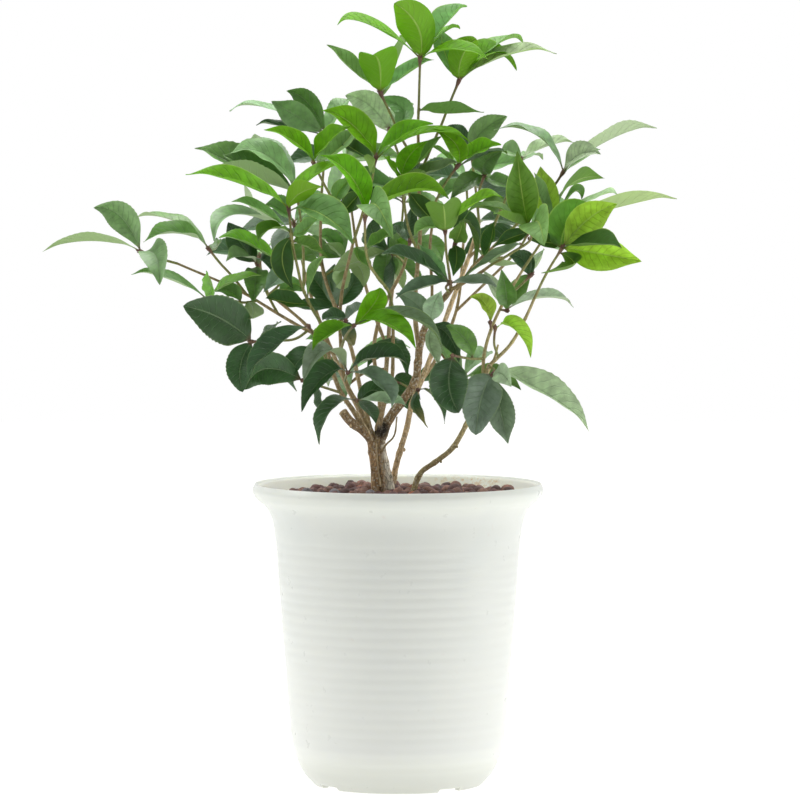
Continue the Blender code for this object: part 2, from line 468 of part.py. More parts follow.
def tube(points, radii, sides):
    """Points and faces of a tube with flat ends along a line of points."""
    points = np.array(points)
    steps = np.diff(points, axis=0)
    steps /= np.linalg.norm(steps, axis=1)[:, None]
    along = np.vstack([steps[:1], steps[:-1] + steps[1:], steps[-1:]])
    side = np.array([1.0, 0, 0]) if abs(steps[0][0]) < 0.9 else np.array([0, 1.0, 0])
    corners = []
    for centre, radius, way in zip(points, radii, along):
        way = unit(way)
        side = unit(side - way * (side @ way))
        up = np.cross(way, side)
        turn = [2 * math.pi * k / sides for k in range(sides)]
        corners += [centre + radius * (math.cos(a) * side + math.sin(a) * up) for a in turn]
    faces = []
    for ring in range(len(points) - 1):
        for k in range(sides):
            n = (k + 1) % sides
            low, high = ring * sides, (ring + 1) * sides
            faces.append([low + k, low + n, high + n, high + k])
    faces.append(list(reversed(range(sides))))
    faces.append(list(range(len(corners) - sides, len(corners))))
    return corners, faces


def make_pot():
    """The moulded pot: a bell with a rolled lip, a raised floor, a notched foot ring and drain holes."""
    floor = [(0, FLOOR_TOP), (0, 0), (MIDDLE_FOOT_RADIUS, 0), (MIDDLE_FOOT_RADIUS, FLOOR_UNDER),
             (FOOT_INNER_RADIUS, FLOOR_UNDER), (FOOT_INNER_RADIUS, 0)]
    outline = floor[1:] + POT_OUTSIDE + POT_INSIDE + [floor[0]]
    pot = add_object("pot", *turned(outline, POT_SIDES), "pot")
    cutters = []
    for k in range(DRAIN_HOLES):
        angle = 2 * math.pi * (k + 0.5) / DRAIN_HOLES
        spot = DRAIN_CIRCLE * MM * np.array([math.cos(angle), math.sin(angle), 0])
        ends = [spot, spot + UP * 2 * FLOOR_TOP * MM]
        cutters.append(add_object("drain", *tube(ends, [DRAIN_RADIUS * MM] * 2, DRAIN_SIDES), "pot"))
    for k in range(FOOT_NOTCHES):
        angle = 2 * math.pi * k / FOOT_NOTCHES - math.radians(FOOT_NOTCH_TURN)
        way = np.array([math.cos(angle), math.sin(angle), 0])
        side = np.array([-way[1], way[0], 0]) * FOOT_NOTCH_WIDTH * MM / 2
        inner, outer = way * FOOT_NOTCH_REACH[0] * MM, way * FOOT_NOTCH_REACH[1] * MM
        low, high = UP * -FOOT_NOTCH_HEIGHT * MM, UP * FOOT_NOTCH_HEIGHT * MM
        corners = [base + edge + level for level in (low, high) for base in (inner, outer) for edge in (-side, side)]
        faces = [[0, 2, 3, 1], [4, 5, 7, 6], [0, 1, 5, 4], [1, 3, 7, 5], [3, 2, 6, 7], [2, 0, 4, 6]]
        cutter = add_object("notch", corners, faces, "pot")
        recalculate(cutter)
        cutters.append(cutter)
    return apply_boolean(pot, cutters, "DIFFERENCE")


def recalculate(obj):
    """Turns all faces of a closed object outwards."""
    work = bmesh.new()
    work.from_mesh(obj.data)
    bmesh.ops.recalc_face_normals(work, faces=work.faces)
    work.to_mesh(obj.data)
    work.free()


def stem_feet():
    """Where each stem enters the soil: its centre line below the pebbles, its radius and its sides."""
    feet = []
    for name, limbs in WOOD.items():
        foot, ground = limbs[0][:2]
        sides = TRUNK_SIDES if name == "trunk" else STEM_SIDES
        feet.append((sighted(*foot[:3]), sighted(*ground[:3]), max(foot[3], ground[3]) * MM, sides))
    return feet


def make_soil():
    """The soil that fills the pot, with a plain blind hole for each stem."""
    outline = [(0, SOIL_OUTLINE[0][1])] + SOIL_OUTLINE + [(0, SOIL_TOP)]
    soil = add_object("soil", *turned(outline, POT_SIDES), "soil")
    cutters = []
    for foot, ground, radius, sides in stem_feet():
        ends = [foot - UP * 2 * GAP, ground]
        cutters.append(add_object("hole", *tube(ends, [radius + HOLE_GAP] * 2, sides), "soil"))
    return apply_boolean(soil, cutters, "DIFFERENCE")


def circle(centre, radius, sides):
    """The corners that a tube of this radius and these sides has about an upright line."""
    return [(centre[0] + radius * math.cos(2 * math.pi * k / sides),
             centre[1] + radius * math.sin(2 * math.pi * k / sides)) for k in range(sides)]


def make_pebbles():
    """The clay pebbles: one layer whose top rises to a rounded point over each ball of a six-sided pattern."""
    rim = circle((0, 0), PEBBLE_EDGE_RADIUS * MM, POT_SIDES)
    loops, solids = [rim], []
    for _, ground, radius, sides in stem_feet():
        loops.append(circle(ground, radius + HOLE_GAP, sides))
        solids.append((ground[:2], radius + PEBBLE_STEM_MARGIN * MM))
    step = PEBBLE_SPACING * MM
    draw = random.Random(PEBBLE_SEED)
    inside, heights = [], []
    for row in range(-PEBBLE_ROWS, PEBBLE_ROWS + 1):
        for column in range(-PEBBLE_ROWS, PEBBLE_ROWS + 1):
            centre = np.array([(column + 0.5 * (row % 2)) * step, row * step * math.sqrt(0.75)])
            hill = PEBBLE_MOUND * math.exp(-(centre @ centre) / (PEBBLE_MOUND_SPREAD * MM) ** 2)
            ball = PEBBLE_VALLEY + PEBBLE_HEIGHT * draw.uniform(*PEBBLE_UNEVEN) + hill
            valleys = [centre + step / math.sqrt(3) * np.array([math.sin(a), math.cos(a)]) for a in (0, math.pi / 3)]
            for spot, height in zip([centre] + valleys, [ball, PEBBLE_VALLEY + hill, PEBBLE_VALLEY + hill]):
                within = np.linalg.norm(spot) < (PEBBLE_EDGE_RADIUS - PEBBLE_EDGE_MARGIN) * MM
                if within and all(np.linalg.norm(spot - where) > reach for where, reach in solids):
                    inside.append(tuple(spot))
                    heights.append(height * MM)
    flat = [corner for loop in loops for corner in loop]
    edges, start = [], 0
    for loop in loops:
        edges += [(start + k, start + (k + 1) % len(loop)) for k in range(len(loop))]
        start += len(loop)
    top, top_faces = outline_faces(flat + inside, edges, loops)
    bottom, bottom_faces = outline_faces(flat, edges, loops)
    count = len(flat)
    points = [(x, y, PEBBLE_VALLEY * MM) for x, y in top[:count]]
    points += [(x, y, height) for (x, y), height in zip(top[count:], heights)]
    squeeze = PEBBLE_FOOT_RADIUS / PEBBLE_EDGE_RADIUS
    below = len(points)
    for k, (x, y) in enumerate(bottom):
        share = squeeze if k < len(rim) else 1
        points.append((x * share, y * share, SOIL_TOP * MM + GAP))
    faces = top_faces + [[below + k for k in reversed(face)] for face in bottom_faces]
    start = 0
    for loop in loops:
        outer = start == 0
        for k in range(len(loop)):
            a, b = start + k, start + (k + 1) % len(loop)
            faces.append([a, below + a, below + b, b] if outer else [a, b, below + b, below + a])
        start += len(loop)
    pebbles = add_object("clay_pebbles", points, faces, "clay")
    return pebbles


def outline_faces(points, edges, loops):
    """Triangles over the flat points, inside the first loop and outside the others."""
    made, _, triangles, _, _, _ = delaunay_2d_cdt([tuple(p) for p in points], edges, [], 0, FLAT_TOLERANCE)
    kept = []
    for triangle in triangles:
        middle = np.mean([made[k] for k in triangle], axis=0)
        in_hole = any(np.linalg.norm(middle - np.mean(loop, axis=0)) < inner_radius(loop) for loop in loops[1:])
        if not in_hole and np.linalg.norm(middle) < PEBBLE_EDGE_RADIUS * MM:
            kept.append(list(triangle))
    return made, kept


def inner_radius(loop):
    return np.linalg.norm(np.mean(loop[:2], axis=0) - np.mean(loop, axis=0))


def limb_parts(name):
    """The closed tubes of one piece of wood, and the short stub that each of its shoots stands on."""
    parts = []
    for number, limb in enumerate(WOOD[name]):
        sides = STEM_SIDES if max(p[3] for p in limb) > THIN_STEM else THIN_SIDES
        if number == 0 and name == "trunk":
            sides = TRUNK_SIDES
        parts.append(tube([sighted(*p[:3]) for p in limb], [p[3] * MM for p in limb], sides))
    routes = [twigs[0][0] for carrier, _, twigs in SHOOTS.values() if carrier == name]
    routes += [route for carrier, route, _ in BACK_SHOOTS.values() if carrier == name]
    for route in routes:
        start, towards = sighted(*route[0]), sighted(*route[1])
        way = unit(towards - start)
        ends = [start - way * STUB_ROOT, start + way * STUB_LENGTH]
        parts.append(tube(ends, [STUB_ROOT_RADIUS * MM, TWIG_RADIUS * MM], TWIG_SIDES))
    return parts


def make_wood(name):
    pieces = [add_object(name if k == 0 else f"{name}_limb", *part, "bark") for k, part in enumerate(limb_parts(name))]
    return apply_boolean(pieces[0], pieces[1:], "UNION")


def twig_line(route, first):
    """The twig's points. The first twig of a shoot starts just clear of its stub."""
    points = [sighted(*p) for p in route]
    if first:
        way = unit(points[1] - points[0])
        points[0] = points[0] + way * (STUB_LENGTH + GAP)
    return points


def at_share(points, share, number=0):
    """Where the leaf of this number stands: at this share of the line, each pair a little behind the last."""
    lengths = [np.linalg.norm(b - a) for a, b in zip(points, points[1:])]
    left = share * sum(lengths) - number // 2 * LEAF_PAIR_SPACING * MM
    near, far = LEAF_FOOT_MARGINS
    left = min(max(left, near * MM), sum(lengths) - far * MM)
    for a, b, length in zip(points, points[1:], lengths):
        if left <= length:
            return a + (b - a) * left / length
        left -= length
    return points[-1]


def twig_solid(line):
    """A twig that swells to the pointed bud at its end."""
    end, way = line[-1], unit(line[-1] - line[-2])
    points = line + [end + way * BUD_LENGTH * MM]
    radii = [TWIG_RADIUS * MM] * (len(line) - 1) + [BUD_RADIUS * MM, BUD_TIP_RADIUS * MM]
    return tube(points, radii, TWIG_SIDES)


def leaf_curve(foot, middle, tip, share):
    """Point and direction at a share of the curve that bends through the leaf's middle."""
    pull = 2 * middle - (foot + tip) / 2
    point = (1 - share) ** 2 * foot + 2 * share * (1 - share) * pull + share ** 2 * tip
    way = 2 * (1 - share) * (pull - foot) + 2 * share * (tip - pull)
    return point, unit(way)


def leaf_top(foot, middle, tip, across, breadth, outer):
    """The blade's upper surface, or only its outer part: rows of points from foot to tip, triangles and normals."""
    stations = LARGE_STATIONS if breadth > LARGE_LEAF else SMALL_STATIONS
    points, normals, rows = [], [], []
    for share, width in (OUTER_START if outer else (0, 0),) + stations + ((1, 0),):
        point, way = leaf_curve(foot, middle, tip, share)
        side = unit(across - way * (across @ way))
        normal = np.cross(side, way)
        half = breadth * width / 2
        offsets = [(-half, half * BLADE_FOLD), (0, 0), (half, half * BLADE_FOLD)] if width else [(0, 0)]
        rows.append(list(range(len(points), len(points) + len(offsets))))
        points += [point + side * x + normal * rise for x, rise in offsets]
        normals += [normal] * len(offsets)
    faces = []
    for low, high in zip(rows, rows[1:]):
        if len(low) == 1:
            faces += [[low[0], high[1], high[0]], [low[0], high[2], high[1]]]
        elif len(high) == 1:
            faces += [[low[0], low[1], high[0]], [low[1], low[2], high[0]]]
        else:
            faces += [[low[0], low[1], high[1]], [low[0], high[1], high[0]],
                      [low[1], low[2], high[1]], [low[2], high[2], high[1]]]
    return np.array(points), np.array(normals), faces


def leaf_solid(leaf, thickness=BLADE_THICKNESS, outer=False):
    """The blade as a closed solid, with the same triangles above and below."""
    top, normals, faces = leaf_top(*leaf, outer)
    count = len(top)
    points = np.vstack([top + normals * thickness / 2, top - normals * thickness / 2])
    below = [[count + k for k in reversed(face)] for face in faces]
    directed = {(face[k], face[(k + 1) % 3]) for face in faces for k in range(3)}
    walls = []
    for a, b in sorted(directed):
        if (b, a) not in directed:
            walls += [[b, a, count + a], [b, count + a, count + b]]
    return points, faces + below + walls


def seen_leaf(foot, middle, tip, seen):
    """A leaf whose blade shows this width in the front view: its upper side, or its underside if less than 0."""
    way = unit(tip - foot)
    length = np.linalg.norm(middle - foot) + np.linalg.norm(tip - middle)
    breadth = min(max(BLADE_BREADTH * length, BLADE_BREADTH_LIMITS[0]), BLADE_BREADTH_LIMITS[1])
    breadth = max(breadth, abs(seen) * MM)
    facing = seen * MM / breadth
    to_eye = unit(EYE - middle)
    front = unit(to_eye - way * (to_eye @ way))
    above = np.cross(way, front)
    outwards = UP + OUTWARD_LEAN * unit(np.array([middle[0], middle[1], MM]))
    if above @ outwards < 0:
        above = -above
    normal = facing * front + math.sqrt(max(0, 1 - facing ** 2)) * above
    return foot, middle, tip, np.cross(way, normal), breadth


def box_of(points):
    return points.min(axis=0), points.max(axis=0)


def boxes_meet(one, other):
    return bool((one[0] <= other[1]).all() and (other[0] <= one[1]).all())


def surface(points, faces):
    """A solid's box and the tree that finds what crosses it."""
    points = np.array(points)
    return box_of(points), BVHTree.FromPolygons([tuple(p) for p in points], faces)


def crosses(leaf, taken, outer=False):
    """Whether the leaf, made thicker by the clearance it needs, meets anything in place."""
    box, tree = surface(*leaf_solid(leaf, CLEAR_THICKNESS, outer))
    return any(boxes_meet(box, other[0]) and tree.overlap(other[1]) for other in taken)


def placed_leaf(draft, seen, major, minor, taken, own):
    """The draft leaf, swung along its major and minor ways or shortened by the least that clears what is taken.

    Where it can, its outer part clears its own shoot too.
    """
    foot, middle, tip = draft
    spare = None
    for size in SEARCH_LENGTHS:
        for sideways in SEARCH_SIDE_STEPS:
            for swing in SEARCH_STEPS:
                shift = (major * swing + minor * sideways) * MM
                new_tip = foot + (tip - foot) * size + shift * size
                new_middle = foot + (middle - foot) * size + shift * size / 2
                leaf = seen_leaf(foot, new_middle, new_tip, seen)
                if crosses(leaf, taken):
                    continue
                if not crosses(leaf, own, outer=True):
                    return leaf
                spare = spare or leaf
    return spare


def back_leaves(line, pairs, draw):
    """Drafts of opposite pairs of leaves about a twig's end, each pair turned a quarter from the last."""
    drafts = []
    start = draw.uniform(0, math.pi)
    for number in range(2 * pairs):
        turn = start + math.pi * (number % 2 + number // 2 / 2)
        turn += draw.uniform(-BACK_TURN_UNEVEN, BACK_TURN_UNEVEN)
        lean = BACK_LEAF_LEAN - BACK_PAIR_DROOP * (number // 2)
        lean = math.radians(lean + draw.uniform(-BACK_LEAN_UNEVEN, BACK_LEAN_UNEVEN))
        length = BACK_LEAF * draw.uniform(*BACK_LENGTH_UNEVEN) * MM
        level = np.array([math.cos(turn), math.sin(turn), 0])
        way = level * math.cos(lean) + UP * math.sin(lean)
        end = at_share(line, 1, number)
        middle = end + way * length * 0.5 + UP * length * BACK_LEAF_DROOP / 2
        tip = end + way * length - UP * length * BACK_LEAF_DROOP / 2
        drafts.append((end, middle, tip, np.cross(level, UP)))
    return drafts


def all_shoots():
    """Every shoot's twigs and leaves, each leaf placed clear of the stems and of the leaves before it."""
    stems = [surface(*part) for name in WOOD for part in limb_parts(name)]
    shoots = {}
    for name, (_, tone, twigs) in SHOOTS.items():
        shoots[name] = (tone, [twig_line(route, number == 0) for number, (route, _) in enumerate(twigs)], [])
    for name, (_, route, _) in BACK_SHOOTS.items():
        shoots[name] = (MATURE, [twig_line(route, True)], [])
    twigs_in_place = {name: [surface(*twig_solid(line)) for line in lines] for name, (_, lines, _) in shoots.items()}
    leaves_in_place = {name: [] for name in shoots}
    outer_parts = {name: [] for name in shoots}
    draw = random.Random(BACK_SEED)

    def place(name, draft, seen, major, minor):
        taken = stems + [solid for other in shoots if other != name
                         for solid in twigs_in_place[other] + leaves_in_place[other]]
        own = twigs_in_place[name] + outer_parts[name]
        leaf = placed_leaf(draft, seen, major, minor, taken, own)
        if leaf is None:
            print("no room for a leaf of", name)
            return
        shoots[name][2].append(leaf)
        leaves_in_place[name].append(surface(*leaf_solid(leaf)))
        outer_parts[name].append(surface(*leaf_solid(leaf, outer=True)))

    def place_seen(name, line, number, share, middle_column, middle_row, tip_column, tip_row, reach, seen):
        foot = at_share(line, share, number)
        depth = foot[1] / MM
        middle = sighted(middle_column, middle_row, depth + reach / 2)
        tip = sighted(tip_column, tip_row, depth + reach)
        sight = unit(tip - EYE)
        place(name, (foot, middle, tip), seen, sight, unit(np.cross(sight, tip - foot)))

    for name, (_, _, twigs) in SHOOTS.items():
        for line, (_, leaves) in zip(shoots[name][1], twigs):
            for number, leaf in enumerate(leaves):
                place_seen(name, line, number, *leaf)
    for name, leaves in INNER_LEAVES.items():
        for number, leaf in enumerate(leaves, len(SHOOTS[name][2][0][1])):
            place_seen(name, shoots[name][1][0], number, *leaf)
    for name, (_, _, pairs) in BACK_SHOOTS.items():
        for foot, middle, tip, minor in back_leaves(shoots[name][1][0], pairs, draw):
            place(name, (foot, middle, tip), BACK_LEAF_SEEN, UP, minor)
    return shoots


def make_shoot(name, tone, twigs, leaves):
    """One leafy shoot: its twigs, their end buds and its leaves, joined in one solid."""
    parts = [twig_solid(line) for line in twigs] + [leaf_solid(leaf) for leaf in leaves]
    pieces = [add_object(name if k == 0 else "blade", *part, tone) for k, part in enumerate(parts)]
    return apply_boolean(pieces[0], pieces[1:], "UNION")


def main():
    clear_scene()
    make_pot()
    make_soil()
    make_pebbles()
    for name in WOOD:
        make_wood(name)
    for name, (tone, twigs, leaves) in all_shoots().items():
        make_shoot(name, tone, twigs, leaves)


if __name__ == "__main__":
    main()
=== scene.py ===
"""The looks of a young osmanthus shrub in a tall white plastic pot, built around its packed part.

Metres, +Z up, the front is -Y. It is run as a script: every piece is a surface worked out with numpy.

The plant is drawn from a front view in which 1 pixel is 1 mm at the pot's axis. Its stems and leaves are
given by where they are seen in that view, with a depth in millimetres: less than 0 is nearer than the pot's
axis.
"""

import json
import math
import random
from functools import partial

import bpy
import numpy as np
from bpy.props import FloatProperty, FloatVectorProperty, PointerProperty
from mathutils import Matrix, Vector
from mathutils.bvhtree import BVHTree

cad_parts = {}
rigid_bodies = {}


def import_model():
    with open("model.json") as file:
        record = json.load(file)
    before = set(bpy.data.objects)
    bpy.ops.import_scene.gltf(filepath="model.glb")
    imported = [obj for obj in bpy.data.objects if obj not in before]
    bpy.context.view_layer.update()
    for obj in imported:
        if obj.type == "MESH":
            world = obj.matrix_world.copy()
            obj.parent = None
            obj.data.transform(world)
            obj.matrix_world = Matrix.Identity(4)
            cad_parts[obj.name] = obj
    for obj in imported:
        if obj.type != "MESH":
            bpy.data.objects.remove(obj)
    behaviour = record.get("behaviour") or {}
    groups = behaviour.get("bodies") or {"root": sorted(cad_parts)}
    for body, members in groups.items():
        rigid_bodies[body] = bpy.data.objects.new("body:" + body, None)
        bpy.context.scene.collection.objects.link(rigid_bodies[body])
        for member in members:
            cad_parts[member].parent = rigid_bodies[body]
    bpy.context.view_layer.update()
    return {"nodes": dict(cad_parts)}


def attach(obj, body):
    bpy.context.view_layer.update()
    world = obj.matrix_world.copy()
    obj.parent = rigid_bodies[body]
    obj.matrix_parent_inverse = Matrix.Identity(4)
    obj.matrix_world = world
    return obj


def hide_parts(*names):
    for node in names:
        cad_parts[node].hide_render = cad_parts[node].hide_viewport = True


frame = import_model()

bl_info = {
    "name": "Potted osmanthus",
    "version": (1, 0, 0),
    "blender": (4, 5, 0),
    "location": "3D View > Sidebar > Osmanthus",
    "description": "Builds a young osmanthus shrub in a white plastic pot topped with clay pebbles",
    "category": "Add Mesh",
}

BODY = "root"
MM = 0.001
GAP = 0.3 * MM

# The front view: the column of the pot's axis, the row of the ground, and the eye's distance and height.
VIEW_AXIS = 398
VIEW_GROUND = 784
EYE_DISTANCE = 4.9
EYE_HEIGHT = 0.672
EYE = np.array([0, -EYE_DISTANCE, EYE_HEIGHT])
UP = np.array([0, 0, 1.0])

# Stems as the part has them: sides of each tube, and the short bare stub that every shoot stands on.
STEM_SIDES = 6
TRUNK_SIDES = 10
THIN_STEM = 2.3
THIN_SIDES = 4
TWIG_SIDES = 3
STUB_LENGTH = 9 * MM
STUB_ROOT = 1 * MM
STUB_ROOT_RADIUS = 1.45
TWIG_RADIUS = 1.25
BUD_RADIUS = 1.7
BUD_LENGTH = 4.5
BUD_TIP_RADIUS = 0.5
LEAF_PAIR_SPACING = 3.2
LEAF_FOOT_MARGINS = (1.5, 0.5)

# Leaves as the part has them: a flat blade whose halves rise a little from the midrib.
BLADE_THICKNESS = 0.9 * MM
BLADE_FOLD = 0.2
BLADE_BREADTH = 0.36
BLADE_BREADTH_LIMITS = (15 * MM, 35 * MM)
LARGE_STATIONS = ((0.27, 0.76), (0.52, 1.0), (0.79, 0.68))
SMALL_STATIONS = ((0.35, 0.96), (0.71, 0.88))
LARGE_LEAF = 27 * MM
OUTWARD_LEAN = 0.3
OUTER_START = (0.15, 0.45)
CLEAR_THICKNESS = 3.4 * MM
SEARCH_STEPS = (0, 7, -7, 14, -14, 22, -22, 30, -30, 40, -40, 52, -52)
SEARCH_SIDE_STEPS = (0, 4, -4)
SEARCH_LENGTHS = (1.0, 0.88, 0.76)

# Pot, in millimetres: radius and height along the outside, from the foot up to the lip, then down the inside.
POT_BASE = [(1, 0), (15, 0), (15, 12.5), (78, 12.5), (78, 0), (81, 0)]
POT_OUTSIDE = [(84, 0), (95.5, 13), (102.5, 29), (106, 44), (109.5, 80), (112.7, 120), (119, 200), (123, 250),
               (126.5, 268), (132.5, 279), (143, 288.5), (145.5, 295), (143, 301.5)]
POT_INSIDE = [(138, 299), (129, 282), (122.5, 269), (119, 250), (115, 200), (107, 100), (105.4, 80),
              (103.8, 60), (102.5, 44), (94.3, 32), (84, 17)]
POT_FLOOR = [(60, 17), (1, 17)]
FLOOR_TOP = 17
FOOT_NOTCH_WIDTH = 26
FOOT_NOTCH_HEIGHT = 3.5
FOOT_NOTCH_REACH = (72, 98)
FOOT_NOTCH_TURN = 53
FOOT_NOTCHES = 4
DRAIN_HOLES = 5
DRAIN_RADIUS = 6
DRAIN_CIRCLE = 52
DRAIN_SIDES = 24

# Every stem in one list is one piece of wood. A point is (column, row, depth, radius), from the soil on.
WOOD = {
    "trunk": [
        [(381.5, 568, 0, 10.4), (381.5, 485, 0, 10.3), (380, 462, 0, 8.8), (377.5, 447, 0, 8),
         (376, 434, 0, 6.4)],
        # The left limb, cut back to a stub.
        [(375, 446, -1, 4.6), (366, 432, -5, 4.8), (353, 423, -10, 4.6), (343, 411, -17, 4.3)],
        # The right limb, up to the fork in the middle of the crown.
        [(378, 446, 0, 5.6), (388, 420, -4, 5), (407, 394, -7, 4.2), (414, 382, -9, 4),
         (420, 345, -16, 3.6), (427, 321, -21, 3.3), (451, 289, -34, 2.6)],
        # From the fork to the right front and to the middle front.
        [(451, 289, -34, 2.2), (476, 275, -47, 1.9), (490, 265, -58, 1.6)],
        [(451, 289, -34, 1.9), (449, 272, -50, 1.6)],
        # The leader, to the top of the crown.
        [(419, 349, -15, 2.8), (415, 313, -6, 2.6), (417, 272, 4, 2.4), (420, 232, 8, 2.2),
         (419, 190, 8, 1.9), (418, 125, 5, 1.6)],
        [(431, 316, -23, 1.8), (432, 290, -22, 1.7), (430, 245, -20, 1.6), (436, 200, -22, 1.5)],
        # Thin stems that fan up from the trunk's head.
        [(374, 444, 2, 3.4), (352, 408, -6, 2.8), (341, 392, -14, 2.6), (333, 372, -24, 2.4),
         (319, 335, -42, 2), (308, 330, -46, 1.9), (278, 313, -51, 1.7), (247, 294, -53, 1.5),
         (178, 263, -51, 1.3)],
        [(326, 352, -36, 2), (323, 336, -52, 1.8), (321, 323, -60, 1.6)],
        [(375, 442, 2, 3), (360, 408, 2, 2.6), (344, 376, -6, 2.3), (341, 345, -9, 2.2),
         (341, 300, -8, 1.9), (353, 243, -14, 1.6)],
        [(376, 440, 4, 3), (380, 400, 16, 2.5), (374, 345, 28, 2.2), (381, 313, 32, 2.1),
         (405, 262, 36, 1.8), (412, 205, 30, 1.5)],
        [(377, 442, -4, 2.8), (384, 405, -22, 2.3), (391, 384, -34, 2.1), (393, 345, -46, 2),
         (393, 308, -58, 1.7)],
        [(373, 438, 5, 2.8), (362, 395, 26, 2.5), (352, 350, 44, 2.3), (322, 262, 62, 1.9),
         (321, 205, 60, 1.5)],
        [(322, 262, 62, 1.6), (310, 268, 48, 1.5), (304, 285, 34, 1.3)],
        # Back stems.
        [(374, 436, 6, 3.2), (352, 395, 44, 2.8), (332, 350, 80, 2.5), (314, 304, 108, 2.1),
         (308, 284, 122, 1.7)],
        [(377, 436, 6, 3.2), (384, 392, 50, 2.8), (388, 345, 94, 2.5), (392, 290, 126, 2.2),
         (398, 250, 142, 1.7)],
        [(388, 349, 91, 2.1), (370, 300, 112, 1.9), (356, 240, 128, 1.6), (352, 212, 132, 1.4)],
        [(333, 353, 78, 2), (300, 318, 84, 1.8), (268, 292, 86, 1.5)],
        [(386, 368, 74, 2), (364, 372, 84, 1.8), (348, 384, 92, 1.5)],
        # A dead twig low on the trunk.
        [(381, 452, -4, 1.6), (386, 444, -10, 1.1), (393, 437, -12, 1), (397, 416, -14, 0.8)],
    ],
    "second_stem": [
        [(392.5, 568, 22, 3.1), (392.5, 484, 22, 3.1), (394, 474, 22, 2.9), (407, 426, 26, 2.5),
         (411, 406, 30, 2.5), (420, 383, 36, 2.4), (441, 330, 53, 2.2), (456, 290, 62, 2.1),
         (468, 258, 66, 1.9), (479, 222, 67, 1.5)],
        [(456, 290, 62, 1.8), (474, 264, 46, 1.7), (493, 246, 28, 1.5)],
        [(468, 258, 66, 1.6), (484, 240, 62, 1.5), (492, 228, 58, 1.3)],
        [(420, 383, 36, 1.9), (440, 350, 78, 2), (456, 310, 108, 1.8), (464, 232, 134, 1.4)],
        [(456, 310, 108, 1.7), (506, 262, 110, 1.4)],
        [(440, 350, 78, 1.7), (448, 362, 88, 1.6), (458, 376, 96, 1.4)],
    ],
    "third_stem": [
        [(414.5, 568, -16, 2.9), (414.5, 487, -16, 2.9), (420, 473, -18, 2.6), (436, 461, -26, 2.5),
         (451, 449, -33, 2.5), (462, 432, -39, 2.4), (469, 418, -42, 2.3), (478, 395, -44, 2.3),
         (484, 378, -44, 2.2), (490, 364, -44, 2.5)],
        [(490, 364, -44, 2.1), (510, 344, -46, 1.9), (525, 318, -48, 1.8), (534, 298, -50, 1.6)],
        [(483, 380, -44, 1.9), (484, 354, -42, 1.9), (492, 326, -38, 1.8), (507, 295, -34, 1.6),
         (522, 270, -28, 1.5)],
        # A dead stub.
        [(491, 364, -44, 1.6), (494, 358, -38, 1.3), (498, 344, -34, 1.1)],
    ],
}

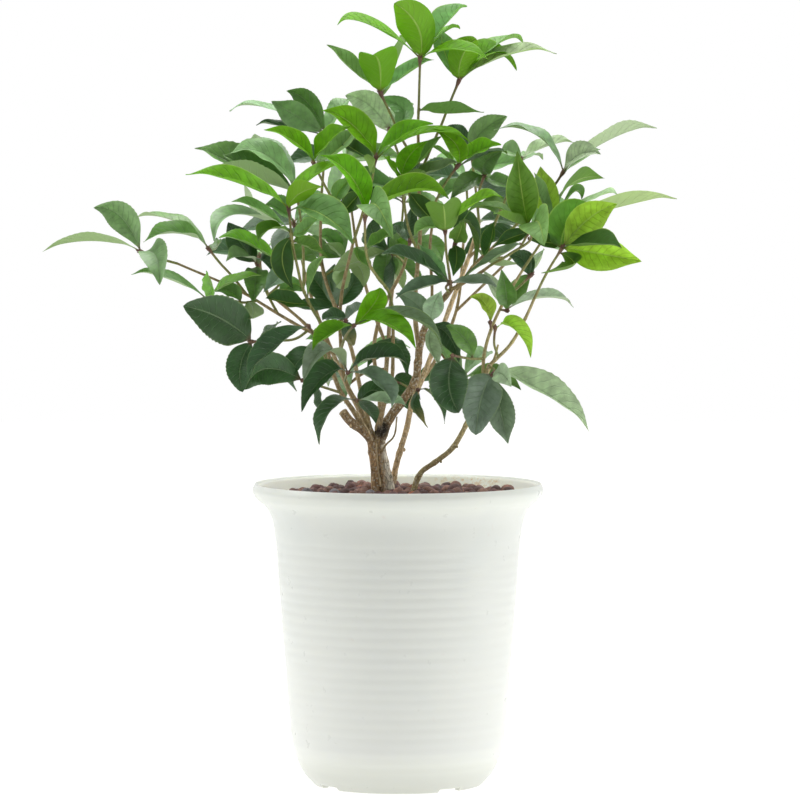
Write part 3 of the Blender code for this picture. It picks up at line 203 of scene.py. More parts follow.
# Shoots: what carries each, its skin, how each of its leaves looks, and its twigs. A twig is a route of
# (column, row, depth), and leaves: (middle column and row, tip column and row, reach, seen width). Reach is
# how much deeper the tip lies than the leaf's foot. Seen width is less than 0 where the underside shows. A
# leaf that isn't at the twig's end has the share of the twig's length where it stands as a last value. The
# looks are: n newest, b bright against the light, m half grown, f half grown with a painted grey sheen, o
# old, g old with a painted grey sheen, s old with a painted silvery sheen of mirrored light, p showing its
# pale underside, d dying back brown.
YOUNG, MATURE = "young leaf", "mature leaf"
SHOOTS = {
    "crown": ("trunk", YOUNG, "nnnfnf", [([(418, 125, 5), (419, 95, 3), (420, 58, 0)], [
        (417, 28, 394, 3, -30, -36), (370, 21, 336, 24, -12, 8), (451, 45, 489, 58, -35, 9),
        (440, 18, 467, 5, 35, 18), (438, 32, 460, 28, 42, 9), (446, 107, 484, 111, 0, -12, 0.2)])]),
    "crown_left": ("trunk", YOUNG, "fnffm", [([(418, 165, 7), (400, 135, 8), (391, 115, 8), (380, 92, 5)], [
        (354, 64, 328, 44, -10, 13), (379, 66, 373, 54, -48, -38), (406, 68, 434, 59, 10, 11),
        (394, 58, 406, 35, 40, -8), (381, 75, 383, 62, 60, 20)])]),
    "crown_right": ("trunk", YOUNG, "fnsnf", [([(419, 176, 8), (432, 145, 12), (441, 125, 14), (450, 102, 12),
        (459, 80, 10)], [
        (448, 53, 440, 29, -5, 22), (462, 57, 476, 39, -42, -28), (502, 51, 557, 50, 12, 11),
        (486, 46, 517, 70, 26, 16), (493, 41, 524, 41, 48, 10)])]),
    "high_left": ("trunk", MATURE, "mffof", [([(321, 205, 60), (324, 165, 50), (326, 133, 38)], [
        (308, 102, 287, 91, -5, 22), (294, 113, 273, 102, -20, 26), (270, 105, 229, 109, 22, 6),
        (285, 123, 256, 122, -12, 7), (335, 108, 351, 99, 32, 16)])]),
    "high_middle": ("trunk", MATURE, "sfsm", [([(412, 205, 30), (402, 165, 28), (390, 130, 25)], [
        (368, 104, 346, 96, -14, 28), (404, 111, 379, 98, 10, 20), (367, 112, 357, 95, 26, -9),
        (398, 112, 412, 101, 50, 18)])]),
    "left_of_middle": ("trunk", YOUNG, "nnffo", [([(353, 243, -14), (341, 213, -26), (326, 187, -38),
        (314, 163, -50)], [
        (299, 139, 265, 128, -22, 14), (323, 138, 350, 126, -22, 14), (337, 143, 358, 127, 34, 18),
        (338, 192, 354, 176, 20, 16, 0.42)])]),
    "left_fan": ("trunk", MATURE, "mfmffsf", [([(304, 285, 34), (303, 240, 30), (300, 212, 24),
        (296, 190, 16)], [
        (245, 158, 195, 146, 30, 26), (270, 150, 230, 151, -8, 20), (258, 163, 225, 151, -38, 20),
        (250, 170, 209, 165, -64, -18), (277, 148, 251, 137, 60, 14), (258, 208, 247, 181, 10, -8, 0.5),
        (240, 209, 212, 238, -46, 10, 0.5)])]),
    "front_left": ("trunk", YOUNG, "nnnffmoffomf", [([(321, 323, -60), (308, 300, -68), (302, 285, -75),
        (298, 268, -82), (294, 250, -88), (291, 228, -93), (289, 208, -96)], [
        (243, 177, 186, 172, -10, 14), (298, 192, 324, 186, -38, -20), (308, 174, 352, 161, 16, 11),
        (325, 207, 353, 243, -48, 26), (262, 206, 232, 201, -32, 8, 0.84),
        (270, 224, 258, 241, -36, 10, 0.84), (283, 258, 293, 288, 12, 22, 0.84),
        (305, 226, 320, 215, -22, 12, 0.84), (293, 283, 281, 297, -42, 16, 0.35),
        (285, 297, 267, 297, -28, 16, 0.2)])]),
    "far_left": ("trunk", MATURE, "fpfm", [([(178, 263, -51), (160, 258, -48), (141, 251, -45)], [
        (120, 216, 95, 208, -25, 28), (93, 236, 43, 250, 5, -8), (157, 256, 160, 284, -48, 28),
        (156, 262, 165, 276, 40, 16)])]),
    "left_arm_up": ("trunk", MATURE, "mmp", [([(247, 294, -53), (232, 275, -42), (220, 262, -32),
        (209, 248, -22)], [
        (180, 226, 143, 240, -25, 13), (172, 215, 129, 219, 25, 8), (214, 246, 217, 237, 34, 8)])]),
    "left_arm_low": ("trunk", MATURE, "mnnmp", [([(258, 300, -53), (245, 302, -62), (225, 299, -64),
        (206, 298, -66)], [
        (170, 274, 131, 271, -15, 8), (208, 285, 206, 271, -38, 12), (229, 279, 262, 274, -14, 8),
        (232, 289, 214, 290, -38, 14, 0.3), (253, 308, 252, 319, -34, -20, 0.2)])]),
    "left_middle": ("trunk", MATURE, "ofomng", [([(278, 313, -51), (266, 290, -42), (257, 262, -30)], [
        (240, 241, 229, 222, -20, 27), (243, 251, 227, 259, -32, 10), (267, 256, 277, 276, -32, 12),
        (256, 281, 253, 301, -38, 24)]),
        ([(268, 295, -44), (280, 283, -50), (285, 269, -55)], [
        (252, 239, 219, 237, -22, 12), (275, 278, 264, 291, -30, 18)])]),
    "low_left": ("trunk", MATURE, "ooo", [([(308, 330, -46), (296, 338, -54), (276, 340, -64),
        (252, 341, -74)], [
        (219, 318, 184, 306, -10, 45), (241, 365, 243, 391, -18, 28), (268, 331, 281, 320, 40, 12, 0.6)])]),
    "low_left_inner": ("trunk", MATURE, "oo", [([(341, 392, -14), (322, 386, -44), (303, 380, -66)], [
        (266, 369, 246, 389, -14, 32), (318, 398, 321, 413, -5, 8, 0.6)])]),
    "low_left_front": ("trunk", MATURE, "oo", [([(333, 372, -24), (322, 350, -62), (309, 326, -92)], [
        (271, 339, 245, 376, -22, 18), (292, 362, 296, 391, -10, 18, 0.5)])]),
    "middle": ("trunk", YOUNG, "nnnpo", [([(353, 243, -14), (362, 215, -28), (372, 180, -44),
        (376, 157, -50)], [
        (357, 123, 323, 110, -18, 24), (399, 130, 433, 123, -12, 14), (425, 129, 474, 142, 10, 8),
        (371, 160, 370, 173, -48, -14), (357, 146, 339, 141, 28, 14)])]),
    "front_middle": ("trunk", YOUNG, "fnnmm", [([(393, 308, -58), (388, 290, -74), (378, 277, -88),
        (370, 265, -98), (366, 250, -106), (365, 232, -115), (365, 217, -122)], [
        (377, 203, 393, 239, -55, 28), (357, 176, 321, 155, -16, 22), (405, 184, 450, 197, -16, 18)])]),
    "middle_right": ("trunk", YOUNG, "nnmgop", [([(418, 252, 6), (408, 226, -8), (404, 200, -18),
        (402, 177, -25)], [
        (409, 157, 427, 141, -24, 20), (394, 166, 385, 155, -34, 6), (420, 153, 441, 135, 18, 12),
        (432, 166, 459, 160, -14, 10), (428, 158, 456, 155, 16, 6), (416, 171, 429, 161, -38, -12)])]),
    "right_of_middle": ("trunk", YOUNG, "nnno", [([(436, 200, -22), (445, 183, -24), (458, 165, -25)], [
        (456, 145, 434, 129, -22, 18), (476, 147, 501, 144, -26, 14), (444, 151, 426, 144, -28, 5),
        (488, 151, 508, 152, 20, 6)])]),
    "high_right": ("second_stem", MATURE, "fof", [([(479, 222, 67), (475, 185, 62), (470, 148, 55)], [
        (483, 129, 507, 116, 5, 24), (460, 133, 446, 126, 18, 14), (476, 138, 492, 132, 56, 18)])]),
    "right_inner": ("second_stem", MATURE, "mmmp", [([(474, 264, 46), (478, 225, 36), (479, 190, 24),
        (484, 175, 16)], [
        (466, 181, 450, 200, -32, 18), (485, 162, 501, 152, -36, 22), (500, 180, 516, 191, -32, 14)])]),
    "right_high_back": ("second_stem", MATURE, "sff", [([(492, 228, 58), (508, 192, 52), (520, 160, 46)], [
        (545, 141, 576, 141, 10, 10), (512, 148, 498, 152, 40, 16), (531, 152, 543, 158, 40, 6)])]),
    "right_top": ("second_stem", MATURE, "fsfs", [([(493, 246, 28), (519, 221, 26), (539, 200, 26),
        (553, 186, 26), (563, 171, 26)], [
        (538, 131, 493, 128, 22, 9), (578, 150, 600, 154, -38, 18), (583, 156, 599, 148, -22, 5),
        (606, 134, 656, 125, 12, -11)])]),
    "right_front": ("trunk", YOUNG, "mfpmogoo", [([(490, 265, -58), (512, 252, -76), (531, 236, -90),
        (528, 227, -95)], [
        (521, 190, 517, 152, -22, 31), (538, 222, 543, 244, -62, 34), (511, 215, 493, 212, -42, -9),
        (492, 203, 461, 218, -30, 5), (512, 236, 494, 246, -16, 14), (500, 250, 463, 275, 8, 8, 0.7)]),
        ([(503, 257, -69), (494, 257, -70), (484, 258, -66)], [
        (487, 239, 494, 221, -8, 12)])]),
    "right": ("third_stem", YOUNG, "bbomm", [([(534, 298, -50), (545, 275, -62), (562, 247, -76)], [
        (589, 218, 616, 204, -30, 32), (598, 252, 641, 261, -10, 34), (592, 237, 621, 247, -38, 15),
        (568, 222, 594, 211, -48, 40), (570, 262, 541, 272, -34, 12)])]),
    "right_behind": ("third_stem", YOUNG, "bpmfss", [([(522, 270, -28), (540, 243, -18), (556, 220, -10)], [
        (546, 195, 540, 166, 14, 26), (566, 180, 601, 174, 34, -6), (571, 190, 582, 199, -20, 5),
        (543, 192, 535, 172, 42, 10), (620, 200, 676, 195, 20, -13), (592, 196, 617, 193, -32, 5)])]),
    "right_small": ("third_stem", MATURE, "omom", [([(507, 295, -34), (520, 285, -26), (531, 274, -18)], [
        (527, 262, 521, 249, -14, 16), (519, 285, 512, 305, 20, 18)])]),
    "front_right": ("trunk", YOUNG, "pnofomo", [([(449, 272, -50), (446, 250, -72), (445, 230, -92)], [
        (444, 217, 443, 203, -52, -34), (474, 198, 503, 196, -12, 9), (425, 209, 409, 192, 22, 20),
        (428, 222, 414, 235, -22, 12)]),
        ([(447, 262, -60), (455, 243, -66)], [
        (456, 258, 453, 275, -32, 17), (459, 232, 463, 221, -34, 18), (470, 217, 478, 262, -20, 12)])]),
    "fork": ("trunk", MATURE, "oggf", [([(449, 292, -33), (446, 286, -48), (450, 282, -56)], [
        (417, 255, 380, 251, -22, 12), (424, 281, 395, 297, -18, 12), (477, 278, 498, 287, -12, 10),
        (436, 262, 422, 240, 36, 14)])]),
    "right_low": ("third_stem", MATURE, "sms", [([(500, 309, -36), (507, 310, -48)], [
        (497, 289, 482, 268, -20, 12), (506, 290, 501, 269, 8, 20), (545, 292, 575, 305, 6, 9)])]),
    "right_bright": ("third_stem", YOUNG, "b", [([(491, 330, -38), (490, 322, -50)], [
        (487, 302, 470, 296, -12, 14)])]),
    "right_hanging": ("third_stem", YOUNG, "b", [([(498, 356, -45), (494, 342, -56), (495, 328, -60)], [
        (517, 323, 532, 357, -15, 13)])]),
    "low_middle": ("third_stem", MATURE, "om", [([(484, 358, -42), (470, 358, -66), (453, 355, -86)], [
        (449, 385, 459, 412, -16, 38), (464, 337, 446, 325, -10, 20, 0.3)])]),
    "low_right": ("third_stem", MATURE, "ssgg", [([(489, 366, -44), (494, 369, -62), (492, 374, -76)], [
        (549, 384, 591, 430, -10, 22, 0.6), (503, 374, 511, 386, -36, 20), (500, 412, 508, 443, -14, 27),
        (481, 398, 476, 434, -24, 38)])]),
    "centre": ("trunk", MATURE, "osgs", [([(425, 328, -20), (430, 324, -46)], [
        (449, 335, 459, 362, -24, 20), (434, 345, 440, 366, -34, 14), (417, 303, 396, 293, -14, 20),
        (434, 303, 441, 291, -30, 20)])]),
    "centre_left": ("trunk", YOUNG, "nnng", [([(341, 348, -9), (346, 335, -44), (354, 325, -80)], [
        (387, 316, 417, 348, -32, 16), (328, 328, 312, 349, -28, 14), (374, 303, 380, 287, -34, 22),
        (410, 312, 447, 351, 26, 12)])]),
    "low_front": ("trunk", MATURE, "ogog", [([(345, 380, -5), (346, 376, -40), (348, 372, -72)], [
        (321, 371, 301, 411, -22, 20), (382, 377, 393, 407, -26, 16), (378, 349, 408, 363, -8, 15),
        (325, 344, 303, 379, -6, 12)])]),
    "lowest": ("trunk", MATURE, "ooso", [([(360, 408, 2), (358, 403, -32), (357, 400, -62)], [
        (327, 405, 318, 444, -20, 14), (370, 408, 376, 423, -36, 13), (385, 396, 407, 405, -14, 10),
        (374, 390, 388, 403, 5, 20, 0.6)])]),
    "low_centre": ("second_stem", MATURE, "oo", [([(415, 395, 33), (404, 384, 52), (394, 380, 62)], [
        (405, 379, 421, 399, 10, 14), (404, 396, 425, 417, -24, 16)])]),
    "low_brown": ("second_stem", MATURE, "od", [([(417, 390, 34), (416, 391, 16), (418, 389, 4)], [
        (436, 394, 446, 423, -20, 6), (417, 407, 429, 426, -16, 10)])]),
    "centre_hanging": ("trunk", MATURE, "oo", [([(388, 345, 94), (391, 339, 84), (393, 336, 76)], [
        (402, 351, 409, 377, -20, 14), (378, 350, 367, 366, -14, 14)])]),
    "inner_dark": ("trunk", MATURE, "oogo", [([(342, 320, 50), (339, 310, 66), (336, 306, 74)], [
        (321, 287, 309, 270, 16, 24), (350, 288, 361, 268, 22, 22)])]),
    "inner_pale": ("trunk", MATURE, "pmmppm", [([(326, 274, 60), (338, 266, 74), (346, 256, 86)], [
        (343, 272, 334, 288, -24, -20), (317, 246, 309, 233, 14, 20), (340, 240, 345, 228, 34, 18),
        (360, 266, 364, 286, 10, -18)])]),
    "inner_right": ("trunk", MATURE, "moopompmo", [([(405, 262, 36), (398, 256, 60), (388, 250, 82)], [
        (385, 268, 386, 285, -24, 26), (397, 235, 402, 220, 16, 20), (374, 240, 362, 232, 24, 18)])]),
    "inner_middle": ("trunk", MATURE, "ofmon", [([(405, 262, 36), (408, 251, 24), (410, 240, 14)], [
        (411, 224, 412, 207, 5, 14), (423, 226, 435, 211, 16, -12), (431, 243, 443, 261, 22, 20),
        (403, 232, 394, 224, 20, 9), (404, 241, 397, 238, -14, 9)])]),
    "inner_low": ("trunk", MATURE, "oodm", [([(341, 333, -9), (344, 326, -24), (346, 320, -36)], [
        (334, 313, 322, 319, 12, 12), (352, 308, 363, 301, 16, 10), (349, 331, 354, 345, 12, 14),
        (325, 330, 305, 338, 20, 14)])]),
}

# Leaves deep in the crown, which find their room after the others: more leaves on a shoot's first twig.
INNER_LEAVES = {
    "left_of_middle": [(350, 204, 362, 191, 26, 18, 0.35)],
    "front_left": [(309, 241, 328, 257, 34, 11, 0.84), (313, 268, 326, 256, 14, 8, 0.3)],
    "front_middle": [(363, 257, 357, 246, 18, 10, 0.5), (377, 237, 393, 229, 26, 11, 0.72)],
    "inner_dark": [(334, 283, 339, 263, -8, 18), (314, 303, 292, 305, 8, 12)],
    "inner_pale": [(337, 246, 325, 243, -22, -10), (332, 236, 318, 240, 10, 14)],
    "inner_right": [(356, 257, 331, 269, -22, -18), (373, 228, 379, 215, -16, 16),
        (397, 240, 408, 232, -18, 13), (399, 271, 404, 290, 16, -14), (411, 266, 422, 284, 28, 12),
        (389, 276, 391, 294, -20, 12)],
    "right_front": [(546, 240, 561, 243, 14, 14, 0.9)],
    "right_small": [(522, 259, 507, 254, -6, 15), (536, 258, 543, 247, 16, 9)],
    "right_inner": [(495, 260, 520, 261, 16, -8, 0.15)],
}

# Shoots behind the crown: what carries each, its twig, and how many pairs of leaves stand round its end.
BACK_SHOOTS = {
    "back_left": ("trunk", [(308, 284, 122), (300, 250, 128), (294, 222, 130)], 3),
    "back_far_left": ("trunk", [(268, 292, 86), (262, 274, 92), (260, 256, 96)], 2),
    "back_high_left": ("trunk", [(352, 212, 132), (350, 188, 138), (346, 160, 138)], 3),
    "back_middle": ("trunk", [(398, 250, 142), (402, 220, 152), (404, 196, 156)], 3),
    "back_low": ("trunk", [(348, 384, 92), (346, 382, 104), (345, 376, 112)], 2),
    "back_right": ("second_stem", [(464, 232, 134), (467, 204, 138), (466, 180, 138)], 3),
    "back_far_right": ("second_stem", [(506, 262, 110), (520, 246, 114), (530, 228, 114)], 3),
    "back_low_right": ("second_stem", [(458, 376, 96), (462, 380, 106), (464, 376, 114)], 2),
}
BACK_LEAF = 74
BACK_LEAF_LEAN = 28
BACK_LEAF_DROOP = 0.24
BACK_LEAF_SEEN = 18
BACK_PAIR_DROOP = 22
BACK_LENGTH_UNEVEN = (0.8, 1.12)
BACK_TURN_UNEVEN = 0.3
BACK_LEAN_UNEVEN = 8
BACK_SEED = 7

BACK_AGES = "fmomof"

# The two stems that have grown together in the trunk's foot, drawn as the stems above are.
TRUNK_FOOT = [
    [(376, 568, -2, 4.6), (376, 492, -2, 4.9), (375.2, 480, -3, 4.3), (373.4, 462, -3, 3.8),
     (372, 447, -3, 4), (371, 437, -3, 4.2), (367, 430, -5, 4.2)],
    [(388, 568, 1, 7.8), (387.4, 492, 1, 8.2), (385.4, 478, 1, 7.2), (383, 464, 1, 6.3), (381, 453, 1, 5.5),
     (380, 441, 0, 5.3), (381, 431, -1, 5), (385, 424, -3, 4.6)],
]
# Thin ridges of bark where stems have grown into one another.
TRUNK_RIDGES = [
    [(375.5, 430, -6, 0.8), (376.4, 442, -5.6, 0.9), (377, 456, -4.6, 1), (378.2, 470, -4.6, 1.1),
     (380.6, 486, -5, 1.3)],
    [(363, 421, -8, 0.7), (369, 431, -8.4, 0.8), (372.5, 440, -7.4, 0.8)],
]
# Knots and scars on each stem: where they stand, and their radius.
KNOTS = {
    "trunk": [(383.7, 441, -5.2, 1.9), (381, 426, -6.5, 3.4), (351, 425, -13, 1.9), (371.6, 468, -5, 1.2),
       (391, 476, -3, 1.7), (362, 427, -9.2, 1.6), (347, 419, -17, 1.4), (404, 402, -9.5, 1.5)],
    "second_stem": [(400.5, 444, 23.2, 1.9), (404, 449, 23.5, 1.6), (397, 468, 21.4, 1.4),
       (411, 412, 26.8, 1.6)],
    "third_stem": [(420.5, 474, -19.6, 2.3), (441, 461, -30, 1.2), (457, 446, -37, 1.2),
       (469, 420, -43.4, 1.1), (489.5, 366, -45.4, 2.4)],
}
# How the bark's colour is shaded, in red, green and blue, on the trunk's first four limbs: the two grown
# together, the left one, which was cut, and the right one.
TRUNK_SHADES = ((0.95, 0.82, 0.7), (1.1, 1.02, 0.95), (0.66, 0.6, 0.54), (0.6, 0.55, 0.48))
# The dark scar in the trunk's fork, and the green wood of the limb that was cut.
SCAR = (381, 428, -6, 13)
CUT = (343, 411, -17, 4.6)
# Pale lichen down the right side of the trunk, partly painted light: it makes that side lighter, as if lit
# from the right.
LICHEN_AND_LIT_SIDE = [(385.5, 446, -4, 6), (387, 455, -5, 7), (389, 465, -6, 8), (391, 475, -7, 9), (393, 486, -7, 10)]

# A crease is sharp from this angle on, in degrees, and a stem's map is 1 after this many millimetres.
SHARP_ANGLE = 62
PLACE_LENGTH = 50
# Leaf skins: how finely a blade is divided, and its outline. Of two values, chance adds up to the second to
# the first. A reach is the two shares of the blade's length, from its foot, between which something comes in.
BLADE_STATIONS = 35
BLADE_ACROSS = 12
BLADE_ARCH = 0.98
BLADE_BROADEST = (0.88, 0.14)
SLIM_LEAF = 0.36
STOUT_LEAF = 0.58
STOUT_ARCH = 0.42
DRAWN_TIP = 0.34
DRAWN_TIP_STOUT = 0.26
DRAWN_TIP_REACH = (0.68, 0.95)
TEETH_REACH = (0.3, 0.45)
TEETH_END_REACH = (0.03, 0.1)
# How a blade is bent: its tip droops, it sways and twists, its halves fold up, and its margins are wavy.
TIP_DROOP = (0.01, 0.03)
TIP_DROOP_REACH = (0.72, 1.0)
BLADE_SWAY = 0.03
BLADE_TWIST = 0.5
BLADE_TWIST_MIDDLE = 0.4
BLADE_CREASE = 1.4
BLADE_FULL = 1.03
BLADE_FIT = (0.7, 1.35)
BLADE_FIT_REACH = (0.05, 0.3)
FOLD_UNEVEN = (0.75, 0.5)
FOLD_SEEN = 1.5
FLATTEST_FOLD = 0.1
MIDRIB_ROUND = 0.06
RUFFLE = 0.9
RUFFLE_LEAST = 0.3
RUFFLE_WAVES = 2
RUFFLE_REACH = (0.06, 0.3)
# Its thickness and its stalk, in millimetres, and how much thinner it is at the tip.
BLADE_SKIN = 0.5
THIN_TIP = 0.6
THIN_TIP_REACH = (0.9, 1)
STALK_SHARE = 0.05
STALK_RADIUS = 0.75
STALK_REACH = (0.04, 0.16)
STALK_SKIN_REACH = (0.03, 0.12)
TIP_RADIUS = 0.12
# Veins, as shares of the blade, and the sizes of the net's cells and of the mottling, in millimetres.
SIDE_VEINS = 11
VEIN_LEAN = 0.17
VEIN_WANDER = 0.9
VEIN_WIDTH = 0.09
MIDRIB_WIDTH = 0.075
VEIN_DEPTH = 0.9
NET_CELL = 1.6
MOTTLE = 9
WANDER = 12
# Ramps: a pattern's values at both ends, then the shares, shades or roughnesses that the ends give.
MOTTLE_SPREAD = (0.3, 0.7)
MOTTLE_SHADES = (*MOTTLE_SPREAD, 0.74, 1.22)
VEIN_RAMP = (0, VEIN_WIDTH, 1, 0)
VEIN_FADE = (0.55, 0.95, 1, 0.15)
MIDRIB_RAMP = (0.02, MIDRIB_WIDTH, 1, 0)
# Where the painted edge light lies across the blade.
PAINTED_EDGE_LIGHT_RAMP = (0.93, 0.98, 0, 1)
STALK_FLUSH = (0.03, 0.1, 0.8, 0)
DRY_RAMP = (0.45, 0.8, 0, 1)
BARK_SHADES = (0.32, 0.68, 0.5, 1.4)
PATCH_RAMP = (0.4, 0.65, 0, 0.35)
FLECK_RAMP = (0.53, 0.62, 0, 0.65)
CRACK_RAMP = (0.02, 0.09, 0.5, 0)
CLOUD_RAMP = (0.45, 0.75, 0, 0.6)
SCUFF_RAMP = (0.66, 0.74, 0, 0.35)
SPLASH_RAMP = (0.48, 0.64, 0, 0.6)
PLASTIC_ROUGHNESS = (0.3, 0.8, 0.26, 0.5)
CLAY_SHADES = (0.3, 0.7, 0.55, 1.4)
CLAY_ROUGHNESS = (0.3, 0.7, 0.5, 0.85)
PIT_RAMP = (0.32, 0.46, 0.7, 0)
SOIL_RAMP = (0.35, 0.65)
# How much of the side veins and of all veins shows on the underside, and how high veins and net stand.
VEINS_BELOW = 0.3
RIBS_BELOW = 0.65
VEIN_RELIEF = 0.5
NET_RELIEF = 0.25
LEAF_RELIEF = 0.8
LEAF_ROUGHER = (-0.05, 0.08)
UNDERSIDE_ROUGHNESS = 0.62
GLOW_SHARE = 0.5
LEAF_IOR = 1.45
WAX_IOR = 1.4
# What the two leaf skins have of their own: colours in sRGB hex, and shares. The pale edge colour is painted
# light along the blade's edge.
LEAF_SKINS = {
    YOUNG: {
        "title": "young osmanthus leaf", "pale_share": 0.22, "vein": "2F6A10", "vein_share": 0.4,
        "midrib": "CBE384", "midrib_share": 0.6, "painted_edge_light": "C9E27A", "painted_edge_light_share": 0.6,
        "rib_below": "CFE58C", "roughness": 0.45, "gloss": 0.4, "wax": 0, "wax_roughness": 0.35,
        "glow": "B6D23C", "translucence": 0.45},
    MATURE: {
        "title": "waxed osmanthus leaf", "pale_share": 0.5, "vein": "7FA078", "vein_share": 0.4,
        "midrib": "A9C394", "midrib_share": 0.3, "painted_edge_light": "9DB878", "painted_edge_light_share": 0.45,
        "rib_below": "C3D4AE", "roughness": 0.4, "gloss": 0.8, "wax": 0.25, "wax_roughness": 0.3,
        "glow": "8FC03A", "translucence": 0.25},
}
# The two barks: how drawn out their grain is, and sizes of grain, patches, flecks and cracks in millimetres.
BARK = {"stretch": 0.4, "grain": 2.6, "patch": 16, "fleck": 2.6, "crack": 3.4, "relief": 0.9, "depth": 1.1,
        "roughness": 0.85}
GREEN_BARK = {"stretch": 0.35, "grain": 1.6, "patch": 11, "fleck": 2, "crack": 3, "relief": 0.4, "depth": 0.4,
              "roughness": 0.6}
BARK_ROUGHER = (-0.1, 0.1)
CRACK_RELIEF = -1.2
BARK_IOR = 1.45
# Buds: (height, radius) from foot to point, in millimetres.
BUD_SIDES = 8
BUD_PROFILE = ((0, 0.9), (0.8, 1.5), (2.0, 1.85), (3.4, 1.55), (4.8, 0.9), (5.8, 0.35), (6.2, 0.08))
AXIL_BUD = 0.55
AXIL_BUD_LEAN = 0.8
SIDE_BUD = 0.72
SIDE_BUD_LEANS = (-0.6, 0.6)
# Wood, in millimetres: steps of each stretch of a stem, sides by its greatest radius, and its swollen nodes.
STEM_STEPS = 9
SIDES_BY_RADIUS = ((4.5, 24), (2.6, 16), (0, 12))
NODE_SPACING = 26
NODE_SHIFT = 7
NODE_LENGTH = 2.2
NODE_SWELL = 0.16
NODE_GREATEST_RADIUS = 4
# A limb that starts thinner than this is drawn slimmer than the part's, and two stems' first limbs fuller.
THIN_LIMB = 3.5
SLIM_STEM = 0.88
FULL_STEMS = {"second_stem": 1.1, "third_stem": 1.04}
# Wood goes from young to old between two radii. Lumps are this share of the radius high, and less when young.
OLD_WOOD = (1.7, 3.6)
LUMP_HEIGHT = 0.09
LUMP_LENGTH = 14
LUMP_YOUNG = 0.4
YOUNG_FLECKS = 0.25
KNOT_SIDES = 12
KNOT_LENGTH = 1.3
STAIN_CORE = 0.5
STAIN_FLECKS = 0.3
# Twigs, in millimetres: how much thicker they are far from their end, at their end and at a leaf's foot.
TWIG_SKIN_SIDES = 10
TWIG_TAPER = 0.25
TWIG_TAPER_REACH = (20, 90)
TWIG_END = 0.5
TWIG_END_LENGTH = 2.6
LEAF_FOOT = 0.35
LEAF_FOOT_LENGTH = 1.6
TWIG_LUMP_HEIGHT = 0.06
TWIG_LUMP_LENGTH = 9
TWIG_FLECKS = 0.15
PURPLE_REACH = (4, 16)
# Pot skin: profile steps, sides, and the wavy ribs of its wall between two heights, in millimetres.
POT_STEPS = 12
POT_STATIONS = 260
POT_TURNS = 160
RIB_START = (18, 26)
RIB_END = (242, 262)
# Sine waves over the height that move the ribs and change their depth: size, length and start.
RIB_DRIFT = ((0.9, 37, 0), (0.5, 17, 1))
RIB_STRENGTH = 0.85
RIB_STRENGTH_DRIFT = (0.15, 29, 2)
# The wall, in millimetres: how far light goes in it, and the sizes of its clouds, scuffs and splashes.
WALL_GLOW = 9
WALL_GLOW_SHARE = 0.5
WALL_GLOW_COLOURS = (1, 0.97, 0.85)
POLYPROPYLENE_IOR = 1.49
CLOUD = 70
SCUFF = 16
SCUFF_RELIEF = 0.15
SCUFF_DEPTH = 0.1
SPLASH = 5
# Heights between which the painted light low on the wall fades out, up to which it fades in from the
# foot, and up to which painted shade darkens the foot.
LIGHT_PAINTED_REACH = (40, 260)
LIGHT_PAINTED_FOOT = 20
LIGHT_PAINTED_SHARE = 0.6
SHADE_PAINTED_HEIGHT = 34
# The cone inside which plastic is the wall's inner side, with painted light on it: its foot's radius, its
# slope, and the soft stretch.
CONE_FOOT = -9.5
CONE_SLOPE = 0.5
CONE_SOFT = 1
# Where the splashes are: the axis, where they begin, and where they end, each over a soft stretch.
SPLASH_BOX = ((0, (28, 50), (100, 118)), (1, (50, 80), (150, 160)), (2, (288, 292), (297, 300.5)))
# Pebbles: the pot's inner radius at their height, the heights of their layers, and the mound round the trunk.
PEBBLE_REACH = 128.5
PEBBLE_LAYERS = (287.3, 282)
PEBBLE_MOUND = 4.6
PEBBLE_MOUND_SPREAD = 48
PEBBLE_STATIONS = (14, 38, 64, 90, 116, 142, 166)
PEBBLE_CORNERS = 10
PEBBLE_UNEVEN = 0.13
PEBBLE_DENTS = 1.6
PEBBLE_SQUASH = (0.84, 1.1)
PEBBLE_SEED = 3
# How far a pebble is moved, as a share of the spacing, and how near it comes to a stem, as one of its radius.
PEBBLE_SHIFT = 0.24
PEBBLE_NEAR = 0.75
# The two shape values of the draw of sizes, how much higher larger ones lie, and how uneven a layer is.
PEBBLE_SIZES = (1.6, 2.2)
PEBBLE_RISE = 0.35
PEBBLE_LEVELS = (-3.2, 2.8)
# The shares of dark, brown, red and grey pebbles, and how much lighter or darker than its kind one is.
PEBBLE_KINDS = (0.46, 0.44, 0.07, 0.03)
PEBBLE_SHADES = (0.75, 1.2)
FIRING = 7
PIT = 1.8
PIT_COLOUR = "1E1413"
PIT_RELIEF = 0.8
PIT_DEPTH = 0.7
CLAY_IOR = 1.5
CRUMB = 3
CRUMB_DEPTH = 1.5
SOIL_ROUGHNESS = 0.95
# How much lighter or darker a leaf is than its age says, and how much each of red, green and blue differs.
LEAF_SHADES = (0.85, 1.15)
LEAF_TINTS = (0.93, 1.07)
YOUNG_TEETH = 0.25
# The stage: the floor's half breadth in metres, a fibre in millimetres, and the lights' place, size and aim.
FLOOR_REACH = 6
FLOOR_ROUGHNESS = (0.85, 0.95)
FLOOR_GLOSS = 0.1
FIBRE = 4
LIGHTS = {"top_light": ((0.1, 0.5, 2.3), 1.6), "right_light": ((1.9, -0.2, 0.4), 1.3),
          "left_light": ((-1.6, 0.1, 1.5), 1.0)}
LIGHT_AIM = (0, 0, 0.45)
CAMERA_SENSOR = 36
CAMERA_ASIDE = 2


def linear(code):
    """A hex colour (sRGB) in linear light: a straight line below 0.04045, and a power of 2.4 above."""
    shares = [int(code[k:k + 2], 16) / 255 for k in (0, 2, 4)]
    return tuple(s / 12.92 if s <= 0.04045 else ((s + 0.055) / 1.055) ** 2.4 for s in shares)


